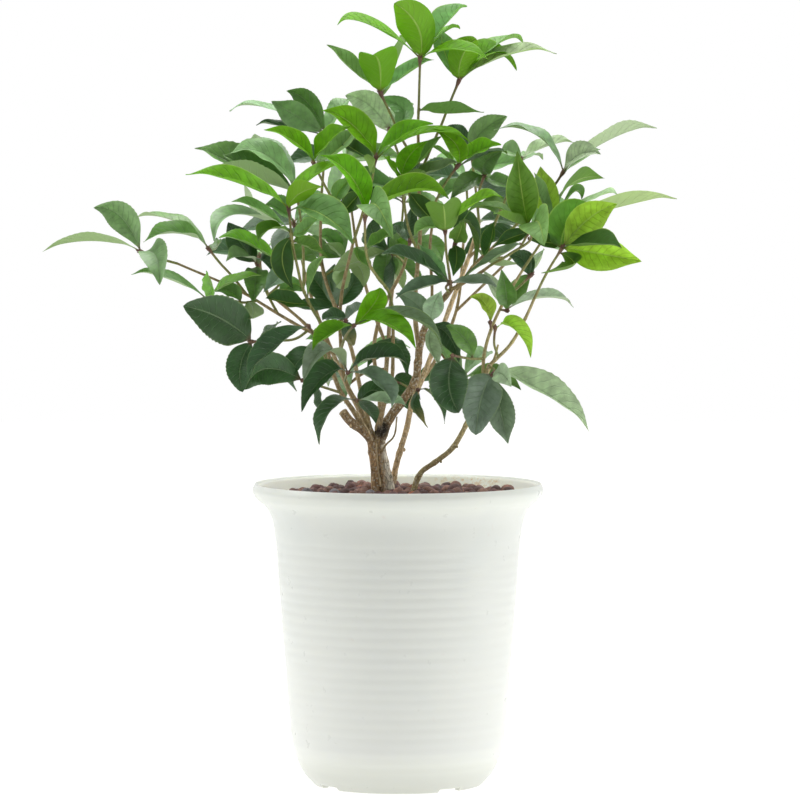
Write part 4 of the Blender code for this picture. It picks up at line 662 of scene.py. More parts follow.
def normal_of(vectors):
    return vectors / np.linalg.norm(vectors, axis=-1, keepdims=True)


def smooth_step(values, low, high):
    """0 below low, 1 above high, and between them 3 times the square less 2 times the cube of the share."""
    share = np.clip((values - low) / (high - low), 0, 1)
    return share * share * (3 - 2 * share)


def smooth_line(points, steps):
    """A smooth curve through the points, and whatever else each row holds.

    Each stretch is a cubic. Its direction at a point is the mean of the slopes on the point's two sides, each
    weighted by the other side's length.
    """
    rows = np.array(points, float)
    gap = np.linalg.norm(np.diff(rows[:, :3], axis=0), axis=1)[:, None]
    slope = np.diff(rows, axis=0) / gap
    inner = (slope[:-1] * gap[1:] + slope[1:] * gap[:-1]) / (gap[1:] + gap[:-1])
    way = np.vstack([slope[:1], inner, slope[-1:]])[:, None]
    t = np.linspace(0, 1, steps, endpoint=False)[None, :, None]
    low, high = rows[:-1, None], rows[1:, None]
    bend = (t ** 3 - 2 * t ** 2 + t) * way[:-1] + (t ** 3 - t ** 2) * way[1:]
    curve = low + (3 * t ** 2 - 2 * t ** 3) * (high - low) + bend * gap[:, None]
    return np.vstack([curve.reshape(-1, rows.shape[1]), rows[-1:]])


def travelled(line):
    """How far along the line each of its points is."""
    return np.concatenate([[0], np.cumsum(np.linalg.norm(np.diff(line, axis=0), axis=1))])


def tube_rings(line, radii, sides):
    """A circle about each point of the line, square to its direction there.

    The circle starts on the cross product of the line's direction and the axis that the line runs along
    least.
    """
    way = normal_of(np.gradient(line, axis=0))
    fixed = np.eye(3)[np.argmin(np.abs(way).mean(axis=0))]
    side = normal_of(np.cross(fixed, way))
    rise = np.cross(way, side)
    turn = 2 * np.pi * np.arange(sides) / sides
    circle_of = np.cos(turn)[:, None] * side[:, None] + np.sin(turn)[:, None] * rise[:, None]
    radii = np.broadcast_to(np.reshape(radii, (len(line), -1)), (len(line), sides))
    return line[:, None] + radii[:, :, None] * circle_of


def whole_turn(sides):
    """The share of a turn at each corner of a ring, and 1 where it closes."""
    return np.linspace(0, 1, sides + 1)


def lumps(turn, along, size, seed):
    """Unevenness about 0: five sine waves over the turn about a stem and the way along it, of seeded phases.

    Wave k goes round k times, and its length along the stem is the size divided by the root of k.
    """
    draw = np.random.default_rng(seed)
    total = np.zeros(np.broadcast(turn, along).shape)
    for k in range(1, 6):
        lean = draw.uniform(-1, 1)
        climb = lean * along / size * math.sqrt(k) * 2 * np.pi
        total += np.sin(k * turn + climb + draw.uniform(0, 2 * np.pi)) / k
    return total / 2


def add_piece(name, parts, materials, replaced):
    """One object of closed skins. A part is (rings, along, around, tint, finish).

    The rings are an array of stations by corners. A quad joins each corner to the next one on its ring and on
    the next ring, and a flat face closes each end. The map "place" holds the value of around at each corner,
    with one more for the way back to the first, and of along at each station. The tint is the part's colour,
    and its fourth number is for the material's use.
    """
    points, corners, sizes, places, tints, finishes = [], [], [], [], [], []
    first = 0
    for rings, along, around, tint, finish in parts:
        stations, sides = rings.shape[:2]
        number = first + np.arange(stations * sides).reshape(stations, sides)
        after = np.roll(number, -1, axis=1)
        quads = np.stack([number[:-1], after[:-1], after[1:], number[1:]], axis=-1)
        u = np.stack([around[:-1], around[1:], around[1:], around[:-1]], axis=-1)
        v = np.stack([along[:-1], along[:-1], along[1:], along[1:]], axis=-1)
        u, v = np.broadcast_arrays(u[None], v[:, None])
        ends = [np.stack([around[:-1][::-1], np.full(sides, along[0])], axis=-1),
                np.stack([around[:-1], np.full(sides, along[-1])], axis=-1)]
        points.append(rings.reshape(-1, 3))
        corners += [quads.ravel(), number[0, ::-1], number[-1]]
        sizes += [np.full(quads.size // 4, 4), [sides, sides]]
        places += [np.stack([u, v], axis=-1).reshape(-1, 2)] + ends
        tints.append(np.broadcast_to(tint, (stations, sides, 4)).reshape(-1, 4))
        finishes.append(np.full(quads.size // 4 + 2, finish))
        first += stations * sides
    mesh = bpy.data.meshes.new(name)
    corners, sizes = np.concatenate(corners), np.concatenate(sizes)
    mesh.vertices.add(first)
    mesh.vertices.foreach_set("co", np.concatenate(points).ravel())
    mesh.loops.add(len(corners))
    mesh.loops.foreach_set("vertex_index", corners.astype(np.int32))
    mesh.polygons.add(len(sizes))
    mesh.polygons.foreach_set("loop_start", (np.cumsum(sizes) - sizes).astype(np.int32))
    mesh.polygons.foreach_set("material_index", np.concatenate(finishes).astype(np.int32))
    mesh.update(calc_edges=True)
    mesh.uv_layers.new(name="place").uv.foreach_set("vector", np.concatenate(places).ravel())
    shade = mesh.color_attributes.new("tint", "FLOAT_COLOR", "POINT")
    shade.data.foreach_set("color", np.concatenate(tints).ravel())
    mesh.shade_smooth()
    mesh.set_sharp_from_angle(angle=math.radians(SHARP_ANGLE))
    for material in materials:
        mesh.materials.append(material)
    obj = bpy.data.objects.new(name, mesh)
    bpy.context.scene.collection.objects.link(obj)
    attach(obj, BODY)
    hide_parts(replaced)
    return obj


def revolved(profile, sides):
    """Rings of a profile of (radius, height) carried round the Z axis."""
    turn = 2 * np.pi * np.arange(sides) / sides
    radius, height = profile[:, :1], profile[:, 1:]
    rings = [radius * np.cos(turn), radius * np.sin(turn), np.broadcast_to(height, (len(profile), sides))]
    return np.stack(rings, axis=-1)


def unit(vector):
    return vector / np.linalg.norm(vector)


def sighted(column, row, depth):
    """The point that the front view shows there, this many millimetres behind the pot's axis."""
    share = 1 + depth * MM / EYE_DISTANCE
    across = (column - VIEW_AXIS) * MM
    height = (VIEW_GROUND - row) * MM
    return np.array([across * share, depth * MM, EYE_HEIGHT + (height - EYE_HEIGHT) * share])


def tube(points, radii, sides):
    """Points and faces of a tube with flat ends: a circle about each point of a line, square to the line.

    Each circle starts where the last one does, brought square to the line's direction there.
    """
    points = np.array(points)
    steps = normal_of(np.diff(points, axis=0))
    along = np.vstack([steps[:1], steps[:-1] + steps[1:], steps[-1:]])
    side = np.array([1.0, 0, 0]) if abs(steps[0][0]) < 0.9 else np.array([0, 1.0, 0])
    turn = 2 * np.pi * np.arange(sides)[:, None] / sides
    rings = []
    for centre, radius, way in zip(points, radii, along):
        way = unit(way)
        side = unit(side - way * (side @ way))
        rings.append(centre + radius * (np.cos(turn) * side + np.sin(turn) * np.cross(way, side)))
    number = np.arange(len(points) * sides).reshape(-1, sides)
    after = np.roll(number, -1, axis=1)
    walls = np.stack([number[:-1], after[:-1], after[1:], number[1:]], axis=-1).reshape(-1, 4)
    return np.vstack(rings), walls.tolist() + [number[0, ::-1].tolist(), number[-1].tolist()]


def limb_parts(name):
    """The closed tubes of one piece of wood, and the short stub that each of its shoots stands on."""
    parts = []
    for number, limb in enumerate(WOOD[name]):
        sides = STEM_SIDES if max(p[3] for p in limb) > THIN_STEM else THIN_SIDES
        if number == 0 and name == "trunk":
            sides = TRUNK_SIDES
        parts.append(tube([sighted(*p[:3]) for p in limb], [p[3] * MM for p in limb], sides))
    routes = [twigs[0][0] for carrier, _, _, twigs in SHOOTS.values() if carrier == name]
    routes += [route for carrier, route, _ in BACK_SHOOTS.values() if carrier == name]
    for route in routes:
        start, towards = sighted(*route[0]), sighted(*route[1])
        way = unit(towards - start)
        ends = [start - way * STUB_ROOT, start + way * STUB_LENGTH]
        parts.append(tube(ends, [STUB_ROOT_RADIUS * MM, TWIG_RADIUS * MM], TWIG_SIDES))
    return parts


def twig_line(route, first):
    """The twig's points. The first twig of a shoot starts just clear of its stub."""
    points = [sighted(*p) for p in route]
    if first:
        way = unit(points[1] - points[0])
        points[0] = points[0] + way * (STUB_LENGTH + GAP)
    return points


def at_share(points, share, number=0):
    """Where the leaf of this number stands: at this share of the line, each pair a little behind the last."""
    lengths = [np.linalg.norm(b - a) for a, b in zip(points, points[1:])]
    left = share * sum(lengths) - number // 2 * LEAF_PAIR_SPACING * MM
    near, far = LEAF_FOOT_MARGINS
    left = min(max(left, near * MM), sum(lengths) - far * MM)
    for a, b, length in zip(points, points[1:], lengths):
        if left <= length:
            return a + (b - a) * left / length
        left -= length
    return points[-1]


def twig_solid(line):
    """A twig that swells to the pointed bud at its end."""
    end, way = line[-1], unit(line[-1] - line[-2])
    points = line + [end + way * BUD_LENGTH * MM]
    radii = [TWIG_RADIUS * MM] * (len(line) - 1) + [BUD_RADIUS * MM, BUD_TIP_RADIUS * MM]
    return tube(points, radii, TWIG_SIDES)


def leaf_curve(foot, middle, tip, share):
    """Point and direction at a share of the curve that bends through the leaf's middle."""
    pull = 2 * middle - (foot + tip) / 2
    point = (1 - share) ** 2 * foot + 2 * share * (1 - share) * pull + share ** 2 * tip
    way = 2 * (1 - share) * (pull - foot) + 2 * share * (tip - pull)
    return point, unit(way)


def leaf_top(foot, middle, tip, across, breadth, outer):
    """The blade's upper surface, or its outer part: rows of points from foot to tip, triangles, normals."""
    stations = LARGE_STATIONS if breadth > LARGE_LEAF else SMALL_STATIONS
    points, normals, rows = [], [], []
    for share, width in (OUTER_START if outer else (0, 0),) + stations + ((1, 0),):
        point, way = leaf_curve(foot, middle, tip, share)
        side = unit(across - way * (across @ way))
        normal = np.cross(side, way)
        half = breadth * width / 2
        offsets = [(-half, half * BLADE_FOLD), (0, 0), (half, half * BLADE_FOLD)] if width else [(0, 0)]
        rows.append(list(range(len(points), len(points) + len(offsets))))
        points += [point + side * x + normal * rise for x, rise in offsets]
        normals += [normal] * len(offsets)
    faces = []
    for low, high in zip(rows, rows[1:]):
        if len(low) == 1:
            faces += [[low[0], high[1], high[0]], [low[0], high[2], high[1]]]
        elif len(high) == 1:
            faces += [[low[0], low[1], high[0]], [low[1], low[2], high[0]]]
        else:
            faces += [[low[0], low[1], high[1]], [low[0], high[1], high[0]],
                      [low[1], low[2], high[1]], [low[2], high[2], high[1]]]
    return np.array(points), np.array(normals), faces


def leaf_solid(leaf, thickness=BLADE_THICKNESS, outer=False):
    """The blade as a closed solid, with the same triangles above and below."""
    top, normals, faces = leaf_top(*leaf, outer)
    count = len(top)
    points = np.vstack([top + normals * thickness / 2, top - normals * thickness / 2])
    below = [[count + k for k in reversed(face)] for face in faces]
    directed = {(face[k], face[(k + 1) % 3]) for face in faces for k in range(3)}
    walls = []
    for a, b in sorted(directed):
        if (b, a) not in directed:
            walls += [[b, a, count + a], [b, count + a, count + b]]
    return points, faces + below + walls


def seen_leaf(foot, middle, tip, seen):
    """A leaf whose blade shows this width in the front view, or its underside if the width is below 0."""
    way = unit(tip - foot)
    length = np.linalg.norm(middle - foot) + np.linalg.norm(tip - middle)
    breadth = min(max(BLADE_BREADTH * length, BLADE_BREADTH_LIMITS[0]), BLADE_BREADTH_LIMITS[1])
    breadth = max(breadth, abs(seen) * MM)
    facing = seen * MM / breadth
    to_eye = unit(EYE - middle)
    front = unit(to_eye - way * (to_eye @ way))
    above = np.cross(way, front)
    outwards = UP + OUTWARD_LEAN * unit(np.array([middle[0], middle[1], MM]))
    if above @ outwards < 0:
        above = -above
    normal = facing * front + math.sqrt(max(0, 1 - facing ** 2)) * above
    return foot, middle, tip, np.cross(way, normal), breadth


def box_of(points):
    return points.min(axis=0), points.max(axis=0)


def boxes_meet(one, other):
    return bool((one[0] <= other[1]).all() and (other[0] <= one[1]).all())


def surface(points, faces):
    """A solid's box and the tree that finds what crosses it."""
    points = np.array(points)
    return box_of(points), BVHTree.FromPolygons([tuple(p) for p in points], faces)


def crosses(leaf, taken, outer=False):
    """Whether the leaf, made thicker by the clearance it needs, meets anything in place."""
    box, tree = surface(*leaf_solid(leaf, CLEAR_THICKNESS, outer))
    return any(boxes_meet(box, other[0]) and tree.overlap(other[1]) for other in taken)


def placed_leaf(draft, seen, major, minor, taken, own):
    """The draft leaf, swung along its major and minor ways or shortened by the least that clears what is
    taken.

    Where it can, its outer part clears its own shoot too.
    """
    foot, middle, tip = draft
    spare = None
    for size in SEARCH_LENGTHS:
        for sideways in SEARCH_SIDE_STEPS:
            for swing in SEARCH_STEPS:
                shift = (major * swing + minor * sideways) * MM
                new_tip = foot + (tip - foot) * size + shift * size
                new_middle = foot + (middle - foot) * size + shift * size / 2
                leaf = seen_leaf(foot, new_middle, new_tip, seen)
                if crosses(leaf, taken):
                    continue
                if not crosses(leaf, own, outer=True):
                    return leaf
                spare = spare or leaf
    return spare


def back_leaves(line, pairs, draw):
    """Drafts of opposite pairs of leaves about a twig's end, each pair turned a quarter from the last."""
    drafts = []
    start = draw.uniform(0, math.pi)
    for number in range(2 * pairs):
        turn = start + math.pi * (number % 2 + number // 2 / 2)
        turn += draw.uniform(-BACK_TURN_UNEVEN, BACK_TURN_UNEVEN)
        lean = BACK_LEAF_LEAN - BACK_PAIR_DROOP * (number // 2)
        lean = math.radians(lean + draw.uniform(-BACK_LEAN_UNEVEN, BACK_LEAN_UNEVEN))
        length = BACK_LEAF * draw.uniform(*BACK_LENGTH_UNEVEN) * MM
        level = np.array([math.cos(turn), math.sin(turn), 0])
        way = level * math.cos(lean) + UP * math.sin(lean)
        end = at_share(line, 1, number)
        middle = end + way * length * 0.5 + UP * length * BACK_LEAF_DROOP / 2
        tip = end + way * length - UP * length * BACK_LEAF_DROOP / 2
        drafts.append((end, middle, tip, np.cross(level, UP)))
    return drafts


def all_shoots():
    """Every shoot's twigs and leaves, each leaf placed clear of the stems and of the leaves before it."""
    stems = [surface(*part) for name in WOOD for part in limb_parts(name)]
    shoots = {}
    for name, (_, tone, _, twigs) in SHOOTS.items():
        shoots[name] = (tone, [twig_line(route, number == 0) for number, (route, _) in enumerate(twigs)], [])
    for name, (_, route, _) in BACK_SHOOTS.items():
        shoots[name] = (MATURE, [twig_line(route, True)], [])
    twigs_in_place = {name: [surface(*twig_solid(line)) for line in lines]
                      for name, (_, lines, _) in shoots.items()}
    leaves_in_place = {name: [] for name in shoots}
    outer_parts = {name: [] for name in shoots}
    draw = random.Random(BACK_SEED)

    def place(name, draft, seen, major, minor):
        taken = stems + [solid for other in shoots if other != name
                         for solid in twigs_in_place[other] + leaves_in_place[other]]
        own = twigs_in_place[name] + outer_parts[name]
        leaf = placed_leaf(draft, seen, major, minor, taken, own)
        if leaf is None:
            print("no room for a leaf of", name)
            return
        shoots[name][2].append(leaf)
        leaves_in_place[name].append(surface(*leaf_solid(leaf)))
        outer_parts[name].append(surface(*leaf_solid(leaf, outer=True)))

    def place_seen(name, line, number, middle_column, middle_row, tip_column, tip_row, reach, seen, share=1):
        foot = at_share(line, share, number)
        depth = foot[1] / MM
        middle = sighted(middle_column, middle_row, depth + reach / 2)
        tip = sighted(tip_column, tip_row, depth + reach)
        sight = unit(tip - EYE)
        place(name, (foot, middle, tip), seen, sight, unit(np.cross(sight, tip - foot)))

    for name, (*_, twigs) in SHOOTS.items():
        for line, (_, leaves) in zip(shoots[name][1], twigs):
            for number, leaf in enumerate(leaves):
                place_seen(name, line, number, *leaf)
    for name, leaves in INNER_LEAVES.items():
        for number, leaf in enumerate(leaves, len(SHOOTS[name][-1][0][1])):
            place_seen(name, shoots[name][1][0], number, *leaf)
    for name, (_, _, pairs) in BACK_SHOOTS.items():
        for foot, middle, tip, minor in back_leaves(shoots[name][1][0], pairs, draw):
            place(name, (foot, middle, tip), BACK_LEAF_SEEN, UP, minor)
    return shoots


def blade_rings(leaves, looks, rough_edge):
    """The skin of each blade: stations from foot to tip, and corners across the top and back below.

    The midrib is the same curve as the part's leaf. Half the width is the sine of pi times the share of the
    blade, to a power, drawn in towards the tip. The height above the midrib rises with the distance from it,
    by the fold, less its square, so that the margins turn down. A sine wave ruffles the margins, every second
    station is drawn in for the teeth, and the tip droops by the square of a smooth step. Where the front view
    shows a blade on edge, it is folded less, and its width is fitted so that it still shows its breadth
    across its curve.
    """
    count = len(leaves)
    draw = np.random.default_rng(looks["seed"])
    foot, middle, tip, across = (np.array([leaf[k] for leaf in leaves])[:, None] for k in range(4))
    breadth = np.array([leaf[4] for leaf in leaves])[:, None]
    t = np.linspace(0, 1, BLADE_STATIONS)
    share = t[None, :, None]
    pull = 2 * middle - (foot + tip) / 2
    centre = (1 - share) ** 2 * foot + 2 * share * (1 - share) * pull + share ** 2 * tip
    way = normal_of(2 * (1 - share) * (pull - foot) + 2 * share * (tip - pull))
    side = normal_of(across - way * (across * way).sum(axis=-1, keepdims=True))
    above = np.cross(side, way)
    length = np.linalg.norm(tip - foot, axis=-1)
    chance = draw.uniform(0, 1, (count, 8))[:, :, None]

    droop = length * (TIP_DROOP[0] + TIP_DROOP[1] * chance[:, 0]) * smooth_step(t, *TIP_DROOP_REACH) ** 2
    sway = length * (chance[:, 1] - 0.5) * BLADE_SWAY * np.sin(np.pi * t)
    centre = centre - above * droop[:, :, None] + side * sway[:, :, None]
    twist = ((chance[:, 2] - 0.5) * BLADE_TWIST * (t - BLADE_TWIST_MIDDLE))[:, :, None]
    side, above = side * np.cos(twist) + above * np.sin(twist), above * np.cos(twist) - side * np.sin(twist)

    blade = np.clip((t - STALK_SHARE) / (1 - STALK_SHARE), 0, 1)
    stout = np.clip((breadth / length - SLIM_LEAF) / (STOUT_LEAF - SLIM_LEAF), 0, 1)
    broadest = BLADE_BROADEST[0] + BLADE_BROADEST[1] * chance[:, 3]
    arch = np.sin(np.pi * blade ** broadest) ** (BLADE_ARCH * (1 - STOUT_ARCH * stout))
    arch = arch * (1 - (DRAWN_TIP - DRAWN_TIP_STOUT * stout) * smooth_step(blade, *DRAWN_TIP_REACH))
    toothed = smooth_step(t, *TEETH_REACH) * smooth_step(1 - t, *TEETH_END_REACH)
    teeth = 1 - rough_edge * (np.arange(BLADE_STATIONS) % 2) * toothed
    stalk = STALK_RADIUS * MM * (1 - smooth_step(t, *STALK_REACH)) + TIP_RADIUS * MM
    wide = breadth / 2 * BLADE_FULL * np.clip(arch, 0, 1)
    thick = BLADE_SKIN * MM * (1 - smooth_step(t, *THIN_TIP_REACH) * THIN_TIP)
    thick = thick + (2 * STALK_RADIUS - BLADE_SKIN) * MM * (1 - smooth_step(t, *STALK_SKIN_REACH))

    even = np.linspace(-1, 1, BLADE_ACROSS + 1)
    top = np.sign(even) * np.abs(even) ** BLADE_CREASE
    over = np.concatenate([top, top[-2:0:-1]])
    upper = np.concatenate([np.ones(BLADE_ACROSS + 1), -np.ones(BLADE_ACROSS - 1)])
    apart = np.sqrt(over ** 2 + MIDRIB_ROUND ** 2) - MIDRIB_ROUND
    sight = normal_of(EYE - middle)
    # How wide and how far off its curve the front view shows the folded blade, and what brings both back.
    level = normal_of(np.cross(sight, tip - foot))
    half_way = BLADE_STATIONS // 2
    flat = (side[:, half_way] * level[:, 0]).sum(axis=-1)[:, None]
    steep = (above[:, half_way] * level[:, 0]).sum(axis=-1)[:, None]
    fold = looks["fold"] * (FOLD_UNEVEN[0] + FOLD_UNEVEN[1] * chance[:, 4])
    fold = np.minimum(fold, FOLD_SEEN * np.abs(flat / steep) + FLATTEST_FOLD)
    shape = fold[:, :, None] * apart - looks["cup"] * over ** 2
    seen = flat * over + steep * shape[:, 0]
    low, high = seen.min(axis=-1)[:, None], seen.max(axis=-1)[:, None]
    wide = wide * np.clip(2 * np.abs(flat) / (high - low), *BLADE_FIT)
    centre = centre - level * ((low + high) / 2 * wide * smooth_step(t, *BLADE_FIT_REACH))[:, :, None]
    half = wide * teeth + stalk
    rise = half[:, :, None] * shape
    wave = RUFFLE * MM * (RUFFLE_LEAST + chance[:, 5])[:, :, None] * over ** 2 * np.sign(over + 0.001)
    wave = wave * np.sin(2 * np.pi * ((RUFFLE_WAVES + chance[:, 6]) * t + chance[:, 7])[:, :, None] + over)
    rise = (rise + wave) * smooth_step(t, *RUFFLE_REACH)[None, :, None]
    rise = rise + upper * thick[None, :, None] / 2 * np.sqrt(np.clip(1 - over ** 2, 0, 1))
    offset = half[:, :, None] * over
    rings = centre[:, :, None] + side[:, :, None] * offset[..., None] + above[:, :, None] * rise[..., None]
    around = np.concatenate([(top + 1) / 2, (3 - top[::-1][1:]) / 2])
    return rings, t, around


def bud_part(root, way, size, tint, finish):
    """A pointed bud: circles that swell and shrink to a point along a straight line."""
    heights, radii = np.array(BUD_PROFILE).T * size * MM
    rings = tube_rings(root + np.outer(heights, unit(way)), radii, BUD_SIDES)
    return rings, np.linspace(0, 1, len(rings)), whole_turn(BUD_SIDES), (*tint, 0), finish


def add(tree, kind, sockets=(), **settings):
    """Adds a shader node. Settings go by name. Sockets go by name, or in the node's own order, and each takes
    a value, or a link from the output given, or from the first output in use of the node given."""
    made = tree.nodes.new("ShaderNode" + kind)
    for key, value in settings.items():
        setattr(made, key, value)
    chosen = made.inputs
    if isinstance(sockets, dict):
        chosen = [next(s for s in made.inputs if s.enabled and s.name == key) for key in sockets]
        sockets = sockets.values()
    for socket, value in zip(chosen, sockets):
        if isinstance(value, bpy.types.Node):
            value = next(s for s in value.outputs if s.enabled)
        if isinstance(value, bpy.types.NodeSocket):
            tree.links.new(value, socket)
        else:
            socket.default_value = value
    return made


def new_material(name):
    """An empty material, the function that adds nodes to it, and the place of each point of the object."""
    material = bpy.data.materials.new(name)
    material.use_nodes = True
    material.node_tree.nodes.clear()
    node = partial(add, material.node_tree)
    return material, node, node("TexCoord").outputs["Object"]


def rgba(colour):
    return (*colour, 1)


def leaf_material(skin, pale, looks):
    """Living leaf: a waxed green skin over soft tissue, with sunken veins.

    The wax gives broad pale highlights, the veins a fine relief, and the tissue lets some light through. The
    underside is paler and dull.
    """
    material, node, where = new_material(skin["title"])
    place = node("SeparateXYZ", [node("UVMap", uv_map="place")])
    tint = node("Attribute", attribute_name="tint")
    across = node("Math", [place.outputs[0]], operation="FRACT")
    across = node("Math", [across, 2, -1], operation="MULTIPLY_ADD")
    across = node("Math", [across], operation="ABSOLUTE")
    along = place.outputs[1]
    under = node("Math", [place.outputs[0], 1], operation="GREATER_THAN")

    # Side veins leave the midrib at nearly even steps, wander, lean to the tip and fade before the blade's
    # edge.
    wander = node("TexNoise", {"Vector": where, "Scale": 1 / (WANDER * MM), "Detail": 2})
    lean = node("Math", [across, -SIDE_VEINS * VEIN_LEAN], operation="MULTIPLY")
    phase = node("Math", [along, SIDE_VEINS, lean], operation="MULTIPLY_ADD")
    phase = node("Math", [wander, VEIN_WANDER, phase], operation="MULTIPLY_ADD")
    phase = node("Math", [phase], operation="FRACT")
    phase = node("Math", [phase, 0.5], operation="SUBTRACT")
    phase = node("Math", [phase], operation="ABSOLUTE")
    veins = node("MapRange", [phase, *VEIN_RAMP], interpolation_type="SMOOTHSTEP")
    fade = node("MapRange", [across, *VEIN_FADE])
    veins = node("Math", [veins, fade], operation="MULTIPLY")
    midrib = node("MapRange", [across, *MIDRIB_RAMP], interpolation_type="SMOOTHSTEP")
    # A thin pale line of painted light along the blade's edge, as if lit through it.
    painted_edge_light = node("MapRange", [across, *PAINTED_EDGE_LIGHT_RAMP])
    net = node("TexVoronoi", {"Vector": where, "Scale": 1 / (NET_CELL * MM)}, feature="DISTANCE_TO_EDGE")
    mottle = node("TexNoise", {"Vector": where, "Scale": 1 / (MOTTLE * MM), "Detail": 3})

    # Colour of the upper side: the leaf's tint, mottled, with the veins and the midrib on it, and a pale line
    # of painted edge light along the blade's edge.
    shade = node("MapRange", [mottle, *MOTTLE_SHADES])
    green = node("Mix", {"Factor": 1, "A": tint.outputs["Color"], "B": shade}, data_type="RGBA",
                 blend_type="MULTIPLY")
    for mask, form in ((veins, "vein"), (midrib, "midrib"), (painted_edge_light, "painted_edge_light")):
        share = node("Math", [mask, skin[form + "_share"]], operation="MULTIPLY")
        green = node("Mix", {"Factor": share, "A": green, "B": rgba(linear(skin[form]))}, data_type="RGBA")

    # The underside: the same tint, paled, with the veins standing out.
    back = node("Mix", {"Factor": skin["pale_share"], "A": tint.outputs["Color"], "B": rgba(pale)},
                data_type="RGBA")
    raised = node("Math", [veins, VEINS_BELOW], operation="MULTIPLY")
    raised = node("Math", [raised, midrib], operation="MAXIMUM")
    raised = node("Math", [raised, RIBS_BELOW], operation="MULTIPLY")
    back = node("Mix", {"Factor": raised, "A": back, "B": rgba(linear(skin["rib_below"]))}, data_type="RGBA")
    colour = node("Mix", {"Factor": under, "A": green, "B": back}, data_type="RGBA")

    # The leaf stalk is flushed purple, and a dying leaf is brown from its tip.
    stalk = node("MapRange", [along, *STALK_FLUSH])
    dry = node("MapRange", [along, *DRY_RAMP])
    dry = node("Math", [dry, tint.outputs["Alpha"]], operation="MULTIPLY")
    for share, shown in ((stalk, looks.stalk), (dry, looks.dying)):
        colour = node("Mix", {"Factor": share, "A": colour, "B": rgba(shown)}, data_type="RGBA")

    # Relief: the veins are sunk in the upper side and stand up below.
    relief = node("Math", [veins, VEIN_RELIEF, midrib], operation="MULTIPLY_ADD")
    turned_over = node("Math", [under, 2, -1], operation="MULTIPLY_ADD")
    relief = node("Math", [relief, turned_over], operation="MULTIPLY")
    cells = node("Math", [net, NET_RELIEF, relief], operation="MULTIPLY_ADD")
    bump = node("Bump", {"Height": cells, "Strength": LEAF_RELIEF, "Distance": VEIN_DEPTH * MM})
    rough = [skin["roughness"] + more for more in LEAF_ROUGHER]
    rough = node("MapRange", [mottle, *MOTTLE_SPREAD, *rough])
    dull = node("Mix", {"Factor": under, "A": rough, "B": UNDERSIDE_ROUGHNESS}, data_type="FLOAT")
    wax = node("BsdfPrincipled", {
        "Base Color": colour, "Roughness": dull, "Normal": bump, "IOR": LEAF_IOR,
        "Specular IOR Level": skin["gloss"], "Coat Weight": skin["wax"],
        "Coat Roughness": skin["wax_roughness"], "Coat IOR": WAX_IOR})
    glow = node("Mix", {"Factor": GLOW_SHARE, "A": colour, "B": rgba(linear(skin["glow"]))}, data_type="RGBA")
    tissue = node("BsdfTranslucent", {"Color": glow, "Normal": bump})
    leaf = node("MixShader", [skin["translucence"], wax, tissue])
    node("OutputMaterial", [leaf])
    return material


def bark_material(name, form, looks):
    """Bark: a dry, cracked skin of cork. Grey lichen flecks and dark cracks run along the stem, and it has no
    gloss.

    The tint's fourth number is how much of the cracks and flecks shows: little on a green twig.
    """
    material, node, where = new_material(name)
    tint = node("Attribute", attribute_name="tint")
    drawn = node("Mapping", {"Vector": where, "Scale": (1, 1, form["stretch"])})
    scale = {key: 1 / (form[key] * MM) for key in ("grain", "patch", "fleck", "crack")}
    grain = node("TexNoise", {"Vector": drawn, "Scale": scale["grain"], "Detail": 6, "Roughness": 0.65})
    broad = node("TexNoise", {"Vector": where, "Scale": scale["patch"], "Detail": 4})
    flecks = node("TexNoise", {"Vector": where, "Scale": scale["fleck"], "Detail": 4, "Roughness": 0.7})
    cracks = node("TexVoronoi", {"Vector": drawn, "Scale": scale["crack"]}, feature="DISTANCE_TO_EDGE")

    shade = node("MapRange", [grain, *BARK_SHADES])
    colour = node("Mix", {"Factor": 1, "A": tint.outputs["Color"], "B": shade}, data_type="RGBA",
                  blend_type="MULTIPLY")
    patches = node("MapRange", [broad, *PATCH_RAMP])
    flecks = node("MapRange", [flecks, *FLECK_RAMP])
    flecks = node("Math", [flecks, tint.outputs["Alpha"]], operation="MULTIPLY")
    cracks = node("MapRange", [cracks, *CRACK_RAMP])
    cracks = node("Math", [cracks, tint.outputs["Alpha"]], operation="MULTIPLY")
    for share, shown in ((patches, looks.thin), (flecks, looks.lichen), (cracks, looks.crack)):
        colour = node("Mix", {"Factor": share, "A": colour, "B": rgba(shown)}, data_type="RGBA")

    height = node("Math", [cracks, CRACK_RELIEF, grain], operation="MULTIPLY_ADD")
    bump = node("Bump", {"Height": height, "Strength": form["relief"], "Distance": form["depth"] * MM})
    rough = node("MapRange", [grain, 0, 1, *(form["roughness"] + more for more in BARK_ROUGHER)])
    cork = node("BsdfPrincipled", {"Base Color": colour, "Roughness": rough, "Normal": bump, "IOR": BARK_IOR})
    node("OutputMaterial", [cork])
    return material


